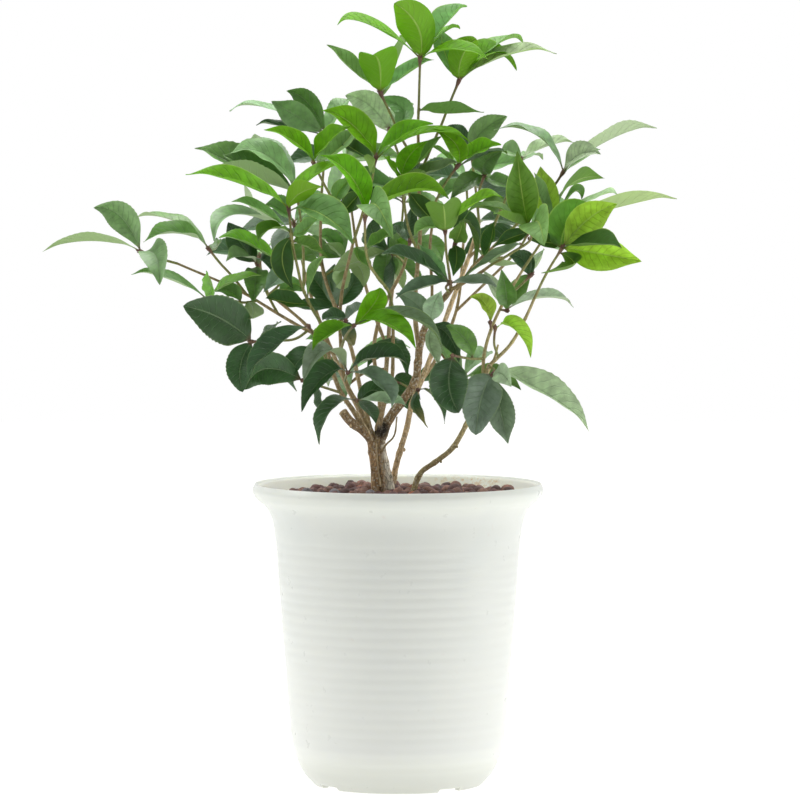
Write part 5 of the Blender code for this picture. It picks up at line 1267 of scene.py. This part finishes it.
def plastic_material(looks):
    """Moulded white polypropylene: a milky skin with a soft satin gloss, faint clouds and scuffs from use,
    and rust coloured splashes of wet soil inside the rim."""
    material, node, where = new_material("moulded white polypropylene")
    place = node("SeparateXYZ", [where])
    x, y, height = place.outputs
    cloud = node("TexNoise", {"Vector": where, "Scale": 1 / (CLOUD * MM), "Detail": 3})
    cloud = node("MapRange", [cloud, *CLOUD_RAMP])
    scuffs = node("TexNoise", {"Vector": where, "Scale": 1 / (SCUFF * MM), "Detail": 5, "Roughness": 0.6})
    scuffed = node("MapRange", [scuffs, *SCUFF_RAMP])

    # Painted light: the wall is lighter low down, as if lit from the floor, and lighter on its inner side, as
    # if lit through the wall. Painted shade darkens the foot. The inner side begins where the distance from
    # the axis passes a cone.
    low = node("MapRange", [height, *(reach * MM for reach in LIGHT_PAINTED_REACH), LIGHT_PAINTED_SHARE, 0])
    foot = node("MapRange", [height, 0, LIGHT_PAINTED_FOOT * MM])
    clear = node("Math", [low, foot], operation="MULTIPLY")
    shade_painted = node("MapRange", [height, 0, SHADE_PAINTED_HEIGHT * MM, 1, 0])
    reach = node("Math", [x, 2], operation="POWER")
    reach = node("Math", [y, y, reach], operation="MULTIPLY_ADD")
    reach = node("Math", [reach], operation="SQRT")
    reach = node("Math", [height, -CONE_SLOPE, reach], operation="MULTIPLY_ADD")
    inner = node("MapRange", [reach, (CONE_FOOT - CONE_SOFT) * MM, CONE_FOOT * MM, 1, 0])

    # Splashes: blots of noise inside the rim, at the back and to the right.
    blots = node("TexNoise", {"Vector": where, "Scale": 1 / (SPLASH * MM), "Detail": 5, "Roughness": 0.7})
    blots = node("MapRange", [blots, *SPLASH_RAMP])
    for axis, start, end in SPLASH_BOX:
        for near, far, *shares in ((*start, 0, 1), (*end, 1, 0)):
            within = node("MapRange", [place.outputs[axis], near * MM, far * MM, *shares])
            blots = node("Math", [blots, within], operation="MULTIPLY")
    # Clouds and scuffs, painted light low down, painted shade at the foot, painted light inside, and
    # splashes.
    colour = rgba(looks.plastic)
    for share, shown in ((cloud, looks.clouded), (scuffed, looks.scuff), (clear, looks.inner),
                         (shade_painted, looks.painted_foot_shade), (inner, looks.inner), (blots, looks.splash)):
        colour = node("Mix", {"Factor": share, "A": colour, "B": rgba(shown)}, data_type="RGBA")

    rough = node("MapRange", [scuffs, *PLASTIC_ROUGHNESS])
    skin = node("Bump", {"Height": scuffs, "Strength": SCUFF_RELIEF, "Distance": SCUFF_DEPTH * MM})
    shell = node("BsdfPrincipled", {
        "Base Color": colour, "Roughness": rough, "Normal": skin, "IOR": POLYPROPYLENE_IOR,
        "Subsurface Weight": WALL_GLOW_SHARE, "Subsurface Radius": WALL_GLOW_COLOURS,
        "Subsurface Scale": WALL_GLOW * MM})
    node("OutputMaterial", [shell])
    return material


def clay_material():
    """Fired clay pebbles: hard brown shells, pitted and unevenly fired, the smoother ones with a gloss."""
    material, node, where = new_material("fired clay pebble")
    tint = node("Attribute", attribute_name="tint")
    firing = node("TexNoise", {"Vector": where, "Scale": 1 / (FIRING * MM), "Detail": 4})
    pits = node("TexNoise", {"Vector": where, "Scale": 1 / (PIT * MM), "Detail": 5, "Roughness": 0.65})
    shade = node("MapRange", [firing, *CLAY_SHADES])
    colour = node("Mix", {"Factor": 1, "A": tint.outputs["Color"], "B": shade}, data_type="RGBA",
                  blend_type="MULTIPLY")
    dark = node("MapRange", [pits, *PIT_RAMP])
    colour = node("Mix", {"Factor": dark, "A": colour, "B": rgba(linear(PIT_COLOUR))}, data_type="RGBA")
    rough = node("MapRange", [firing, *CLAY_ROUGHNESS])
    bump = node("Bump", {"Height": pits, "Strength": PIT_RELIEF, "Distance": PIT_DEPTH * MM})
    clay = node("BsdfPrincipled", {"Base Color": colour, "Roughness": rough, "Normal": bump, "IOR": CLAY_IOR})
    node("OutputMaterial", [clay])
    return material


def soil_material(looks):
    """Potting mix: dark crumbs of peat and bark, damp and dry in patches, dull all over."""
    material, node, where = new_material("peat potting mix")
    crumbs = node("TexVoronoi", {"Vector": where, "Scale": 1 / (CRUMB * MM)})
    fine = node("TexNoise", {"Vector": where, "Scale": 1 / (PIT * MM), "Detail": 6})
    share = node("MapRange", [fine, *SOIL_RAMP])
    colour = node("Mix", {"Factor": share, "A": rgba(looks.soil_dark), "B": rgba(looks.soil_light)},
                  data_type="RGBA")
    bump = node("Bump", {"Height": crumbs, "Strength": 1, "Distance": CRUMB_DEPTH * MM})
    mix = node("BsdfPrincipled", {"Base Color": colour, "Roughness": SOIL_ROUGHNESS, "Normal": bump})
    node("OutputMaterial", [mix])
    return material


def add_pot(looks):
    """The pot's skin: its profile is a smooth curve through the part's profile, carried round the Z axis.

    The wall's radius follows a sine wave over its height, whose length and depth drift a little, so that the
    ribs are faint and uneven. The foot's notches and the drain holes are cut as in the part.
    """
    outside = smooth_line([(r, 0, z) for r, z in POT_OUTSIDE], POT_STEPS)[:, [0, 2]]
    length = travelled(outside)
    evenly = np.linspace(0, length[-1], POT_STATIONS)
    outside = np.column_stack([np.interp(evenly, length, column) for column in outside.T])
    inside = smooth_line([(r, 0, z) for r, z in POT_INSIDE], POT_STEPS)[:, [0, 2]]
    height = outside[:, 1]
    spacing = looks.rib_spacing / MM
    drift = sum(size * np.sin(height / length + start) for size, length, start in RIB_DRIFT)
    size, length, start = RIB_STRENGTH_DRIFT
    strength = RIB_STRENGTH + size * np.sin(height / length + start)
    wave = np.sin(2 * np.pi * (height + drift) / spacing) * strength
    within = smooth_step(height, *RIB_START) * smooth_step(-height, -RIB_END[1], -RIB_END[0])
    outside[:, 0] += looks.rib_depth / MM * wave * within
    profile = np.vstack([POT_BASE, outside, inside, POT_FLOOR]) * MM
    along = np.linspace(0, 1, len(profile))
    part = revolved(profile, POT_TURNS), along, whole_turn(POT_TURNS), (1, 1, 1, 1), 0
    pot = add_piece("white_pot", [part], [plastic_material(looks)], "pot")
    cut(pot, pot_cutters())
    return pot


def pot_cutters():
    """Closed tubes for the drain holes and blocks for the foot's notches, long enough to pass through."""
    cutters = []
    bore = [DRAIN_RADIUS * MM] * 2
    for k in range(DRAIN_HOLES):
        angle = 2 * math.pi * (k + 0.5) / DRAIN_HOLES
        spot = DRAIN_CIRCLE * MM * np.array([math.cos(angle), math.sin(angle), 0])
        cutters.append(tube([spot - UP * MM, spot + UP * 2 * FLOOR_TOP * MM], bore, DRAIN_SIDES))
    for k in range(FOOT_NOTCHES):
        angle = 2 * math.pi * k / FOOT_NOTCHES - math.radians(FOOT_NOTCH_TURN)
        way = np.array([math.cos(angle), math.sin(angle), 0])
        side = np.array([-way[1], way[0], 0]) * FOOT_NOTCH_WIDTH * MM / 2
        rise = UP * FOOT_NOTCH_HEIGHT * MM
        ring = [-side - rise, side - rise, side + rise, -side + rise]
        corners = [way * reach * MM + corner for reach in FOOT_NOTCH_REACH for corner in ring]
        faces = [[3, 2, 1, 0], [4, 5, 6, 7]] + [[n, (n + 1) % 4, 4 + (n + 1) % 4, 4 + n] for n in range(4)]
        cutters.append((corners, faces))
    return cutters


def cut(piece, cutters):
    """Cuts closed solids from a piece with an exact boolean, and leaves the result in its mesh."""
    tools = bpy.data.collections.new("cutters")
    for corners, faces in cutters:
        mesh = bpy.data.meshes.new("cutter")
        mesh.from_pydata([tuple(map(float, corner)) for corner in corners], [], faces)
        tools.objects.link(bpy.data.objects.new("cutter", mesh))
    bpy.context.scene.collection.children.link(tools)
    modifier = piece.modifiers.new("Cuts", "BOOLEAN")
    modifier.operation = "DIFFERENCE"
    modifier.operand_type = "COLLECTION"
    modifier.collection = tools
    modifier.solver = "MANIFOLD"
    bpy.context.view_layer.update()
    piece.data = bpy.data.meshes.new_from_object(piece.evaluated_get(bpy.context.evaluated_depsgraph_get()))
    piece.modifiers.clear()
    for tool in list(tools.objects):
        bpy.data.objects.remove(tool, do_unlink=True)
    bpy.data.collections.remove(tools)


def add_pebbles(looks):
    """The clay pebbles: spheres squashed and dented by sine waves, turned at random, in two loose layers.

    Their middles are a six-sided pattern, each moved by up to a quarter of the spacing. The upper layer rises
    to a mound round the trunk by a bell curve of the distance from the pot's axis.
    """
    draw = np.random.default_rng(PEBBLE_SEED)
    spacing = looks.spacing
    count = int(PEBBLE_REACH * MM / spacing) + 1
    row, column = np.mgrid[-count - 1:count + 2, -count - 1:count + 2]
    middles, radii = [], []
    for level, height in enumerate(PEBBLE_LAYERS):
        spots = np.stack([(column + 0.5 * (row % 2) + 0.5 * level) * spacing,
                          (row + level / 3) * spacing * math.sqrt(0.75)], axis=-1).reshape(-1, 2)
        spots = spots + draw.uniform(-PEBBLE_SHIFT, PEBBLE_SHIFT, spots.shape) * spacing
        radius = looks.smallest + (looks.largest - looks.smallest) * draw.beta(*PEBBLE_SIZES, len(spots))
        distance = np.linalg.norm(spots, axis=1)
        keep = distance + radius < PEBBLE_REACH * MM
        for ground, stem in stem_feet():
            keep &= np.linalg.norm(spots - ground[:2], axis=1) > stem + radius * PEBBLE_NEAR
        mound = PEBBLE_MOUND * np.exp(-(distance / (PEBBLE_MOUND_SPREAD * MM)) ** 2)
        z = (height + mound) * MM + (radius - looks.smallest) * PEBBLE_RISE
        z = z + draw.uniform(*PEBBLE_LEVELS, len(spots)) * MM
        middles.append(np.column_stack([spots, z])[keep])
        radii.append(radius[keep])
    middles, radii = np.vstack(middles), np.concatenate(radii)
    balls = len(radii)

    down = np.radians(PEBBLE_STATIONS)[::-1]
    turn = 2 * np.pi * np.arange(PEBBLE_CORNERS) / PEBBLE_CORNERS
    sphere = np.stack([np.outer(np.sin(down), np.cos(turn)), np.outer(np.sin(down), np.sin(turn)),
                       np.broadcast_to(np.cos(down)[:, None], (len(down), PEBBLE_CORNERS))], axis=-1)
    waves = draw.normal(0, PEBBLE_DENTS, (balls, 3, 3))
    phases = draw.uniform(0, 2 * np.pi, (balls, 3))
    dents = np.sin(np.einsum("spc,bwc->bspw", sphere, waves) + phases[:, None, None]).mean(axis=-1)
    squash = draw.uniform(*PEBBLE_SQUASH, (balls, 3))
    shapes = sphere * squash[:, None, None] * (1 + PEBBLE_UNEVEN * dents)[..., None]
    shapes = shapes * radii[:, None, None, None]
    turned_by = np.linalg.qr(draw.normal(size=(balls, 3, 3)))[0]
    turned_by *= np.sign(np.linalg.det(turned_by))[:, None, None]
    shapes = np.einsum("bspc,bdc->bspd", shapes, turned_by) + middles[:, None, None]

    kinds = draw.choice(len(PEBBLE_KINDS), balls, p=PEBBLE_KINDS)
    colours = np.array([looks.dark, looks.brown, looks.red, looks.grey])[kinds]
    colours = colours * draw.uniform(*PEBBLE_SHADES, (balls, 1))
    along = np.linspace(0, 1, len(down))
    around = whole_turn(PEBBLE_CORNERS)
    parts = [(shape, along, around, (*colour, 1), 0) for shape, colour in zip(shapes, colours)]
    return add_piece("clay_balls", parts, [clay_material()], "clay_pebbles")


def stem_feet():
    """Where each stem leaves the pebbles: its middle and its radius."""
    return [(sighted(*limbs[0][1][:3]), limbs[0][1][3] * MM) for limbs in WOOD.values()]


def tube_part(line, radii, sides, tint, finish):
    """The skin of a tube, with a tint at each of its circles."""
    along = travelled(line) / (PLACE_LENGTH * MM)
    tint = np.repeat(tint[:, None], sides, axis=1)
    return tube_rings(line, radii, sides), along, whole_turn(sides), tint, finish


def limb_part(limb, tints, seed, shade, slim):
    """The skin of one limb: a tube along a smooth curve through its points.

    Its radius swells by a bell curve at even steps, where leaves once stood, and is uneven as lumps says.
    Thick wood takes the first tint and thin wood the second, by a smooth step of the radius.
    """
    line = smooth_line([(*sighted(*p[:3]), p[3] * MM) for p in limb], STEM_STEPS)
    line, radius = line[:, :3], line[:, 3] * slim
    length = travelled(line)
    greatest = radius.max() / MM
    sides = next(sides for least, sides in SIDES_BY_RADIUS if greatest > least)
    turn = 2 * np.pi * np.arange(sides) / sides
    beyond = (length / MM + NODE_SHIFT * seed) % NODE_SPACING - NODE_SPACING / 2
    swell = 1 + NODE_SWELL * np.exp(-(beyond / NODE_LENGTH) ** 2) * (radius < NODE_GREATEST_RADIUS * MM)
    thick = smooth_step(radius / MM, *OLD_WOOD)[:, None]
    rough = lumps(turn[None], length[:, None], LUMP_LENGTH * MM, seed)
    rough = 1 + LUMP_HEIGHT * rough * (LUMP_YOUNG + thick)
    old, young = (np.array([*(np.array(tint) * shade), flecked])
                  for tint, flecked in zip(tints, (1, YOUNG_FLECKS)))
    tint = old * thick + young * (1 - thick)
    return tube_part(line, radius[:, None] * swell[:, None] * rough, sides, tint, 0)


def knot_part(spot, radius, tint):
    """A knot: a ball drawn out upwards, half sunk in the bark."""
    down = np.radians(PEBBLE_STATIONS)[::-1]
    profile = np.column_stack([np.sin(down) * radius * MM, np.cos(down) * KNOT_LENGTH * radius * MM])
    rings = revolved(profile, KNOT_SIDES) + spot
    return rings, np.linspace(0, 1, len(down)), whole_turn(KNOT_SIDES), (*tint, 1), 0


def add_stems(looks):
    """The three pieces of wood, each of smooth limbs that grow out of one another, with knots on them."""
    tints = {"trunk": (looks.cork, looks.thin), "second_stem": (looks.tan, looks.thin),
             "third_stem": (looks.olive, looks.olive)}
    bark = bark_material("osmanthus bark", BARK, looks)
    for name, limbs in WOOD.items():
        drawn, shades = limbs, ()
        if name == "trunk":
            drawn, shades = TRUNK_FOOT + limbs[1:] + TRUNK_RIDGES, TRUNK_SHADES
        old, young = tints[name]
        parts = []
        for seed, limb in enumerate(drawn):
            slim = SLIM_STEM if limb[0][3] < THIN_LIMB else 1
            shade = shades[seed] if seed < len(shades) else (1, 1, 1)
            pair = (looks.ridge, looks.ridge) if limb in TRUNK_RIDGES else (old, young)
            if seed == 0 and name in FULL_STEMS:
                slim, pair = FULL_STEMS[name], (old, old)
            parts.append(limb_part(limb, pair, seed, shade, slim))
        parts += [knot_part(sighted(*spot), radius, old) for *spot, radius in KNOTS[name]]
        if name == "trunk":
            parts = [stained(part, looks) for part in parts]
        add_piece(f"{name}_wood", parts, [bark], name)


def stained(part, looks):
    """The part with lichen, partly painted light on its right side, the dark scar and the green cut, each by
    a smooth step of the distance to it.
    """
    rings, along, around, tint, finish = part
    tint = np.array(np.broadcast_to(tint, (*rings.shape[:2], 4)))
    stains = [(spot, looks.lichen, 1) for spot in LICHEN_AND_LIT_SIDE]
    stains += [(SCAR, looks.scar, STAIN_FLECKS), (CUT, looks.cut, STAIN_FLECKS)]
    for (*spot, reach), colour, flecked in stains:
        apart = np.linalg.norm(rings - sighted(*spot), axis=-1) / MM
        share = 1 - smooth_step(apart, reach * STAIN_CORE, reach)[..., None]
        tint = tint * (1 - share) + np.array([*colour, flecked]) * share
    return rings, along, around, tint, finish


def twig_parts(lines, leaves, looks, seed):
    """The skins of a shoot's twigs, their end buds, and a small bud above each leaf's foot.

    A twig is a tube along a smooth curve. It starts inside its stem, swells where leaves stand, and turns
    from green to purple towards its end by a smooth step of the distance to it.
    """
    parts = []
    for number, line in enumerate(lines):
        start = line[0] - unit(line[1] - line[0]) * (STUB_LENGTH + GAP) * (number == 0)
        curve = smooth_line([start] + line[int(number == 0):] if number == 0 else line, STEM_STEPS)
        length = travelled(curve)
        left = (length[-1] - length) / MM
        turn = 2 * np.pi * np.arange(TWIG_SKIN_SIDES) / TWIG_SKIN_SIDES
        radius = TWIG_RADIUS + TWIG_TAPER * smooth_step(left, *TWIG_TAPER_REACH)
        radius = (radius + TWIG_END * np.exp(-(left / TWIG_END_LENGTH) ** 2)) * MM
        for leaf in leaves:
            apart = np.linalg.norm(curve - leaf[0], axis=1) / MM
            radius = radius + LEAF_FOOT * MM * np.exp(-(apart / LEAF_FOOT_LENGTH) ** 2)
        rough = lumps(turn[None], length[:, None], TWIG_LUMP_LENGTH * MM, seed + number)
        rough = 1 + TWIG_LUMP_HEIGHT * rough
        purple = 1 - smooth_step(left, *PURPLE_REACH)[:, None]
        tint = np.array([*looks.twig, TWIG_FLECKS]) * (1 - purple) + np.array([*looks.purple, 0]) * purple
        parts.append(tube_part(curve, radius[:, None] * rough, TWIG_SKIN_SIDES, tint, 1))
        end, way = curve[-1], unit(curve[-1] - curve[-2])
        side = unit(np.cross(way, EYE - end))
        for lean, size in ((0, 1), *((lean, SIDE_BUD) for lean in SIDE_BUD_LEANS)):
            parts.append(bud_part(end - way * MM, way + side * lean, size, looks.purple, 1))
    ends = np.array([line[-1] for line in lines])
    for foot, middle, *_ in leaves:
        nearest = lines[int(np.argmin(np.linalg.norm(ends - foot, axis=1)))]
        way = unit(nearest[-1] - nearest[-2])
        way = unit(way + AXIL_BUD_LEAN * unit(middle - foot))
        parts.append(bud_part(foot, way, AXIL_BUD, looks.purple, 1))
    return parts


def add_shoots(looks, wood):
    """Every leafy shoot: its leaves where the part has them, with their own tints, and its twigs and buds."""
    pale = {YOUNG: looks.young_pale, MATURE: looks.pale}
    materials = {age: leaf_material(LEAF_SKINS[age], pale[age], looks) for age in (YOUNG, MATURE)}
    green_bark = bark_material("green osmanthus twig", GREEN_BARK, wood)
    # f, g and s are leaf colours with a painted sheen laid into them: grey, or silvery as mirrored light.
    colours = {"n": looks.newest, "b": looks.bright, "m": looks.middle, "f": looks.half_grown_painted_sheen, "o": looks.old,
               "g": looks.painted_sheen, "s": looks.painted_mirror_sheen, "p": looks.middle, "d": looks.old}
    for seed, (name, (age, lines, leaves)) in enumerate(all_shoots().items()):
        draw = np.random.default_rng(seed)
        letters = SHOOTS[name][2] if name in SHOOTS else BACK_AGES
        form = {"fold": looks.fold if age == MATURE else looks.young_fold, "cup": looks.cup, "seed": seed}
        teeth = looks.teeth if age == MATURE else looks.teeth * YOUNG_TEETH
        rings, along, around = blade_rings(leaves, form, teeth)
        parts = []
        for skin, letter in zip(rings, letters):
            varied = np.array(colours[letter]) * draw.uniform(*LEAF_SHADES) * draw.uniform(*LEAF_TINTS, 3)
            parts.append((skin, along, around, (*varied, letter == "d"), 0))
        parts += twig_parts(lines, leaves, wood, seed)
        add_piece("foliage_" + name, parts, [materials[age], green_bark], "shoot_" + name)


def add_stage(looks):
    """A white paper floor, soft white light from all round with three large soft lights, and the camera."""
    scene = bpy.context.scene
    scene.view_settings.view_transform = "Standard"
    mesh = bpy.data.meshes.new("paper_floor")
    corners = [(FLOOR_REACH * x, FLOOR_REACH * y, 0) for x, y in ((-1, -1), (1, -1), (1, 1), (-1, 1))]
    mesh.from_pydata(corners, [], [(0, 1, 2, 3)])
    paper, node, where = new_material("white paper floor")
    fibres = node("TexNoise", {"Vector": where, "Scale": 1 / (FIBRE * MM)})
    rough = node("MapRange", [fibres, 0, 1, *FLOOR_ROUGHNESS])
    sheet = node("BsdfPrincipled", {
        "Base Color": rgba(looks.shade), "Roughness": rough, "Specular IOR Level": FLOOR_GLOSS,
        "Emission Color": rgba(looks.floor), "Emission Strength": looks.floor_glow})
    node("OutputMaterial", [sheet])
    mesh.materials.append(paper)
    floor = bpy.data.objects.new("paper_floor", mesh)
    scene.collection.objects.link(floor)

    world = bpy.data.worlds.new("soft white light")
    world.use_nodes = True
    world.node_tree.nodes.clear()
    node = partial(add, world.node_tree)
    way = node("SeparateXYZ", [node("TexCoord").outputs["Generated"]])
    room = node("MapRange", [way.outputs[1], -1, 1, looks.sky_front, looks.sky_back])
    seen = node("LightPath").outputs["Is Camera Ray"]
    strength = node("Mix", {"Factor": seen, "A": room, "B": 1.0}, data_type="FLOAT")
    sky = node("Background", {"Color": (1, 1, 1, 1), "Strength": strength})
    node("OutputWorld", [sky])
    scene.world = world
    for (name, (place, size)), power in zip(LIGHTS.items(), (looks.top, looks.right, looks.left)):
        light = bpy.data.lights.new(name, "AREA")
        light.size = size
        light.energy = power
        aimed(name, light, place, LIGHT_AIM)
    lens = bpy.data.cameras.new("camera")
    lens.sensor_width = CAMERA_SENSOR
    lens.lens = looks.focal
    scene.camera = aimed("camera", lens, (0, -EYE_DISTANCE, looks.height), (CAMERA_ASIDE * MM, 0, looks.aim))


def aimed(name, made, place, aim):
    """A light or camera in the scene, at a place and turned towards another."""
    obj = bpy.data.objects.new(name, made)
    obj.location = place
    obj.rotation_euler = (Vector(aim) - obj.location).to_track_quat("-Z", "Y").to_euler()
    bpy.context.scene.collection.objects.link(obj)
    return obj


def colour_of(title, owner, code):
    """The colour of something, which the user can change."""
    return FloatVectorProperty(name=title, description=f"Colour of {owner}", subtype="COLOR", size=3, min=0,
                               max=1, default=linear(code))


def number_of(title, told, value, unit="NONE", least=0):
    """A number that the user can change, in Blender's base unit."""
    return FloatProperty(name=title, description=told, unit=unit, min=least, default=value)


def length_of(title, told, millimetres):
    """A length that the user can change, given in millimetres."""
    return number_of(title, told, millimetres * MM, "LENGTH")


def share_of(title, told, value):
    """A share from 0 to 1 that the user can change."""
    return FloatProperty(name=title, description=told, subtype="FACTOR", min=0, max=1, default=value)


class PotLooks(bpy.types.PropertyGroup):
    """The moulded pot and the soil in it."""
    plastic: colour_of("Plastic", "the moulded wall", "DADDD7")
    # Inner plastic is painted light: a lighter colour laid on the wall's inner side and low on the wall.
    inner: colour_of("Inner plastic", "the wall's inner side", "F6F8F0")
    # The foot's colour is painted shade: a darker grey near the floor.
    painted_foot_shade: colour_of("Dust", "the dusty foot", "D2D4CC")
    clouded: colour_of("Clouded plastic", "the faint clouds in the wall", "D3D8D4")
    scuff: colour_of("Scuffs", "the small scuffs", "D3C6BD")
    splash: colour_of("Splashes", "the splashes inside the rim", "D2A45C")
    soil_dark: colour_of("Damp soil", "the damp parts of the potting mix", "1C1410")
    soil_light: colour_of("Dry soil", "the dry parts of the potting mix", "46352A")
    rib_spacing: length_of("Rib spacing", "Distance between the faint ribs round the wall", 9.9)
    rib_depth: length_of("Rib depth", "Height of the faint ribs round the wall", 0.17)


class PebbleLooks(bpy.types.PropertyGroup):
    """The fired clay pebbles."""
    spacing: length_of("Spacing", "Distance between the middles of neighbouring pebbles", 12.6)
    smallest: length_of("Smallest radius", "Radius of the smallest pebbles", 4.6)
    largest: length_of("Largest radius", "Radius of the largest pebbles", 7.8)
    dark: colour_of("Dark clay", "hard fired pebbles", "6B4C4A")
    brown: colour_of("Brown clay", "most pebbles", "946E62")
    red: colour_of("Red clay", "softly fired pebbles", "A5664B")
    grey: colour_of("Grey clay", "the few grey pebbles", "928C93")


class WoodLooks(bpy.types.PropertyGroup):
    """The stems and twigs."""
    cork: colour_of("Cork", "the bark of thick stems", "C6AC8A")
    tan: colour_of("Tan bark", "the bark of the tan stem", "E4C79C")
    olive: colour_of("Olive bark", "the smooth bark of the olive stem", "B9AA7C")
    thin: colour_of("Thin bark", "the bark of thin stems", "9A8660")
    twig: colour_of("Twig", "a green twig", "7E8244")
    purple: colour_of("Shoot end", "the soft end of a twig and of its buds", "6A4A40")
    ridge: colour_of("Ridge", "the thin ridges on the trunk", "E2CDA8")
    lichen: colour_of("Lichen", "the pale flecks", "EFE8D8")
    crack: colour_of("Cracks", "the cracks in the bark", "5A4430")
    scar: colour_of("Scar", "the dark scar in the fork", "2C241F")
    cut: colour_of("Cut wood", "the wood of the cut limb", "8F8A3C")


class LeafLooks(bpy.types.PropertyGroup):
    """The leaves."""
    newest: colour_of("Newest", "the upper side of a leaf that has just opened", "7CBE1C")
    bright: colour_of("Bright", "the upper side of a young leaf that the light shines through", "C4E65C")
    middle: colour_of("Half grown", "the upper side of a leaf of this year", "6E9C48")
    old: colour_of("Old", "the upper side of a leaf of last year", "365F31")
    # The next three colours hold painted sheen: grey on a half grown and on an old leaf, silvery on an old
    # one.
    half_grown_painted_sheen: colour_of("Half grown with bloom", "a leaf of this year with a grey bloom", "8CBA76")
    painted_sheen: colour_of("Bloom", "the upper side of an old leaf with a grey bloom", "849E82")
    painted_mirror_sheen: colour_of("Silvery", "the upper side of an old leaf that mirrors the light", "CADEBA")
    pale: colour_of("Underside", "an old leaf's underside", "BFD29A")
    young_pale: colour_of("Young underside", "a young leaf's underside", "AED060")
    dying: colour_of("Dying", "a leaf that dies back", "9C9660")
    stalk: colour_of("Leaf stalk", "the stalk", "7A4A3E")
    fold: share_of("Fold", "How steeply the halves of an old blade rise from the midrib", 0.8)
    young_fold: share_of("Young fold", "How steeply the halves of a young blade rise from the midrib", 0.85)
    cup: share_of("Cup", "How much the margins of a blade turn down again", 0.14)
    teeth: share_of("Teeth", "Depth of an old leaf's teeth, as a share of its half breadth", 0.04)


class StageLooks(bpy.types.PropertyGroup):
    """The floor, the light and the camera."""
    floor: colour_of("Floor", "the lit paper floor", "F6F6F4")
    shade: colour_of("Floor shade", "the paper floor without its glow", "8C8C8A")
    floor_glow: number_of("Floor glow", "How much the lit floor shines by itself", 1.0)
    sky_front: number_of("Room light", "Strength of the white light from the front", 0.37)
    sky_back: number_of("Backdrop light", "Strength of the white light from the back", 0.85)
    top: number_of("Top light", "Power of the large soft light above", 40, "POWER")
    right: number_of("Right light", "Power of the soft light at the right", 13, "POWER")
    left: number_of("Left light", "Power of the soft light at the left", 13, "POWER")
    focal: number_of("Focal length", "Focal length on a sensor 36 mm wide, in millimetres", 221, least=1)
    aim: length_of("Aim", "Height that the middle of the picture shows", 384.8)
    height: length_of("Camera height", "Height of the camera above the floor", 658)


GROUPS = {"osmanthus_pot": PotLooks, "osmanthus_pebbles": PebbleLooks, "osmanthus_wood": WoodLooks,
          "osmanthus_leaves": LeafLooks, "osmanthus_stage": StageLooks}


class AddPot(bpy.types.Operator):
    """Add the moulded pot and give the soil in it its finish"""
    bl_idname = "osmanthus.add_pot"
    bl_label = "Pot and soil"

    def execute(self, context):
        looks = context.scene.osmanthus_pot
        add_pot(looks)
        soil = frame["nodes"]["soil"]
        soil.material_slots[0].material = soil_material(looks)
        return {"FINISHED"}


class AddPebbles(bpy.types.Operator):
    """Add the layer of fired clay pebbles"""
    bl_idname = "osmanthus.add_pebbles"
    bl_label = "Clay pebbles"

    def execute(self, context):
        add_pebbles(context.scene.osmanthus_pebbles)
        return {"FINISHED"}


class AddStems(bpy.types.Operator):
    """Add the woody stems with their bark, knots and scars"""
    bl_idname = "osmanthus.add_stems"
    bl_label = "Stems"

    def execute(self, context):
        add_stems(context.scene.osmanthus_wood)
        return {"FINISHED"}


class AddShoots(bpy.types.Operator):
    """Add the leafy shoots: twigs, buds and leaves"""
    bl_idname = "osmanthus.add_shoots"
    bl_label = "Leafy shoots"

    def execute(self, context):
        add_shoots(context.scene.osmanthus_leaves, context.scene.osmanthus_wood)
        return {"FINISHED"}


class AddStage(bpy.types.Operator):
    """Add the floor, the soft lights and the camera"""
    bl_idname = "osmanthus.add_stage"
    bl_label = "Stage"

    def execute(self, context):
        add_stage(context.scene.osmanthus_stage)
        return {"FINISHED"}


OPERATORS = (AddPot, AddPebbles, AddStems, AddShoots, AddStage)


class OsmanthusPanel(bpy.types.Panel):
    """Lists the pieces and the sizes and colours that can be changed"""
    bl_idname = "VIEW3D_PT_osmanthus"
    bl_label = "Potted osmanthus"
    bl_space_type = "VIEW_3D"
    bl_region_type = "UI"
    bl_category = "Osmanthus"

    def draw(self, context):
        for operator in OPERATORS:
            self.layout.operator(operator.bl_idname)
        for attribute, group in GROUPS.items():
            box = self.layout.box()
            box.label(text=group.__doc__)
            for field in group.__annotations__:
                box.prop(getattr(context.scene, attribute), field)


def register():
    for group in GROUPS.values():
        bpy.utils.register_class(group)
    for attribute, group in GROUPS.items():
        setattr(bpy.types.Scene, attribute, PointerProperty(type=group))
    for made in OPERATORS + (OsmanthusPanel,):
        bpy.utils.register_class(made)


def unregister():
    for made in (OsmanthusPanel,) + OPERATORS[::-1]:
        bpy.utils.unregister_class(made)
    for attribute, group in GROUPS.items():
        delattr(bpy.types.Scene, attribute)
        bpy.utils.unregister_class(group)


def main():
    register()
    bpy.ops.osmanthus.add_stage()
    bpy.ops.osmanthus.add_pot()
    bpy.ops.osmanthus.add_pebbles()
    bpy.ops.osmanthus.add_stems()
    bpy.ops.osmanthus.add_shoots()


if __name__ == "__main__":
    main()
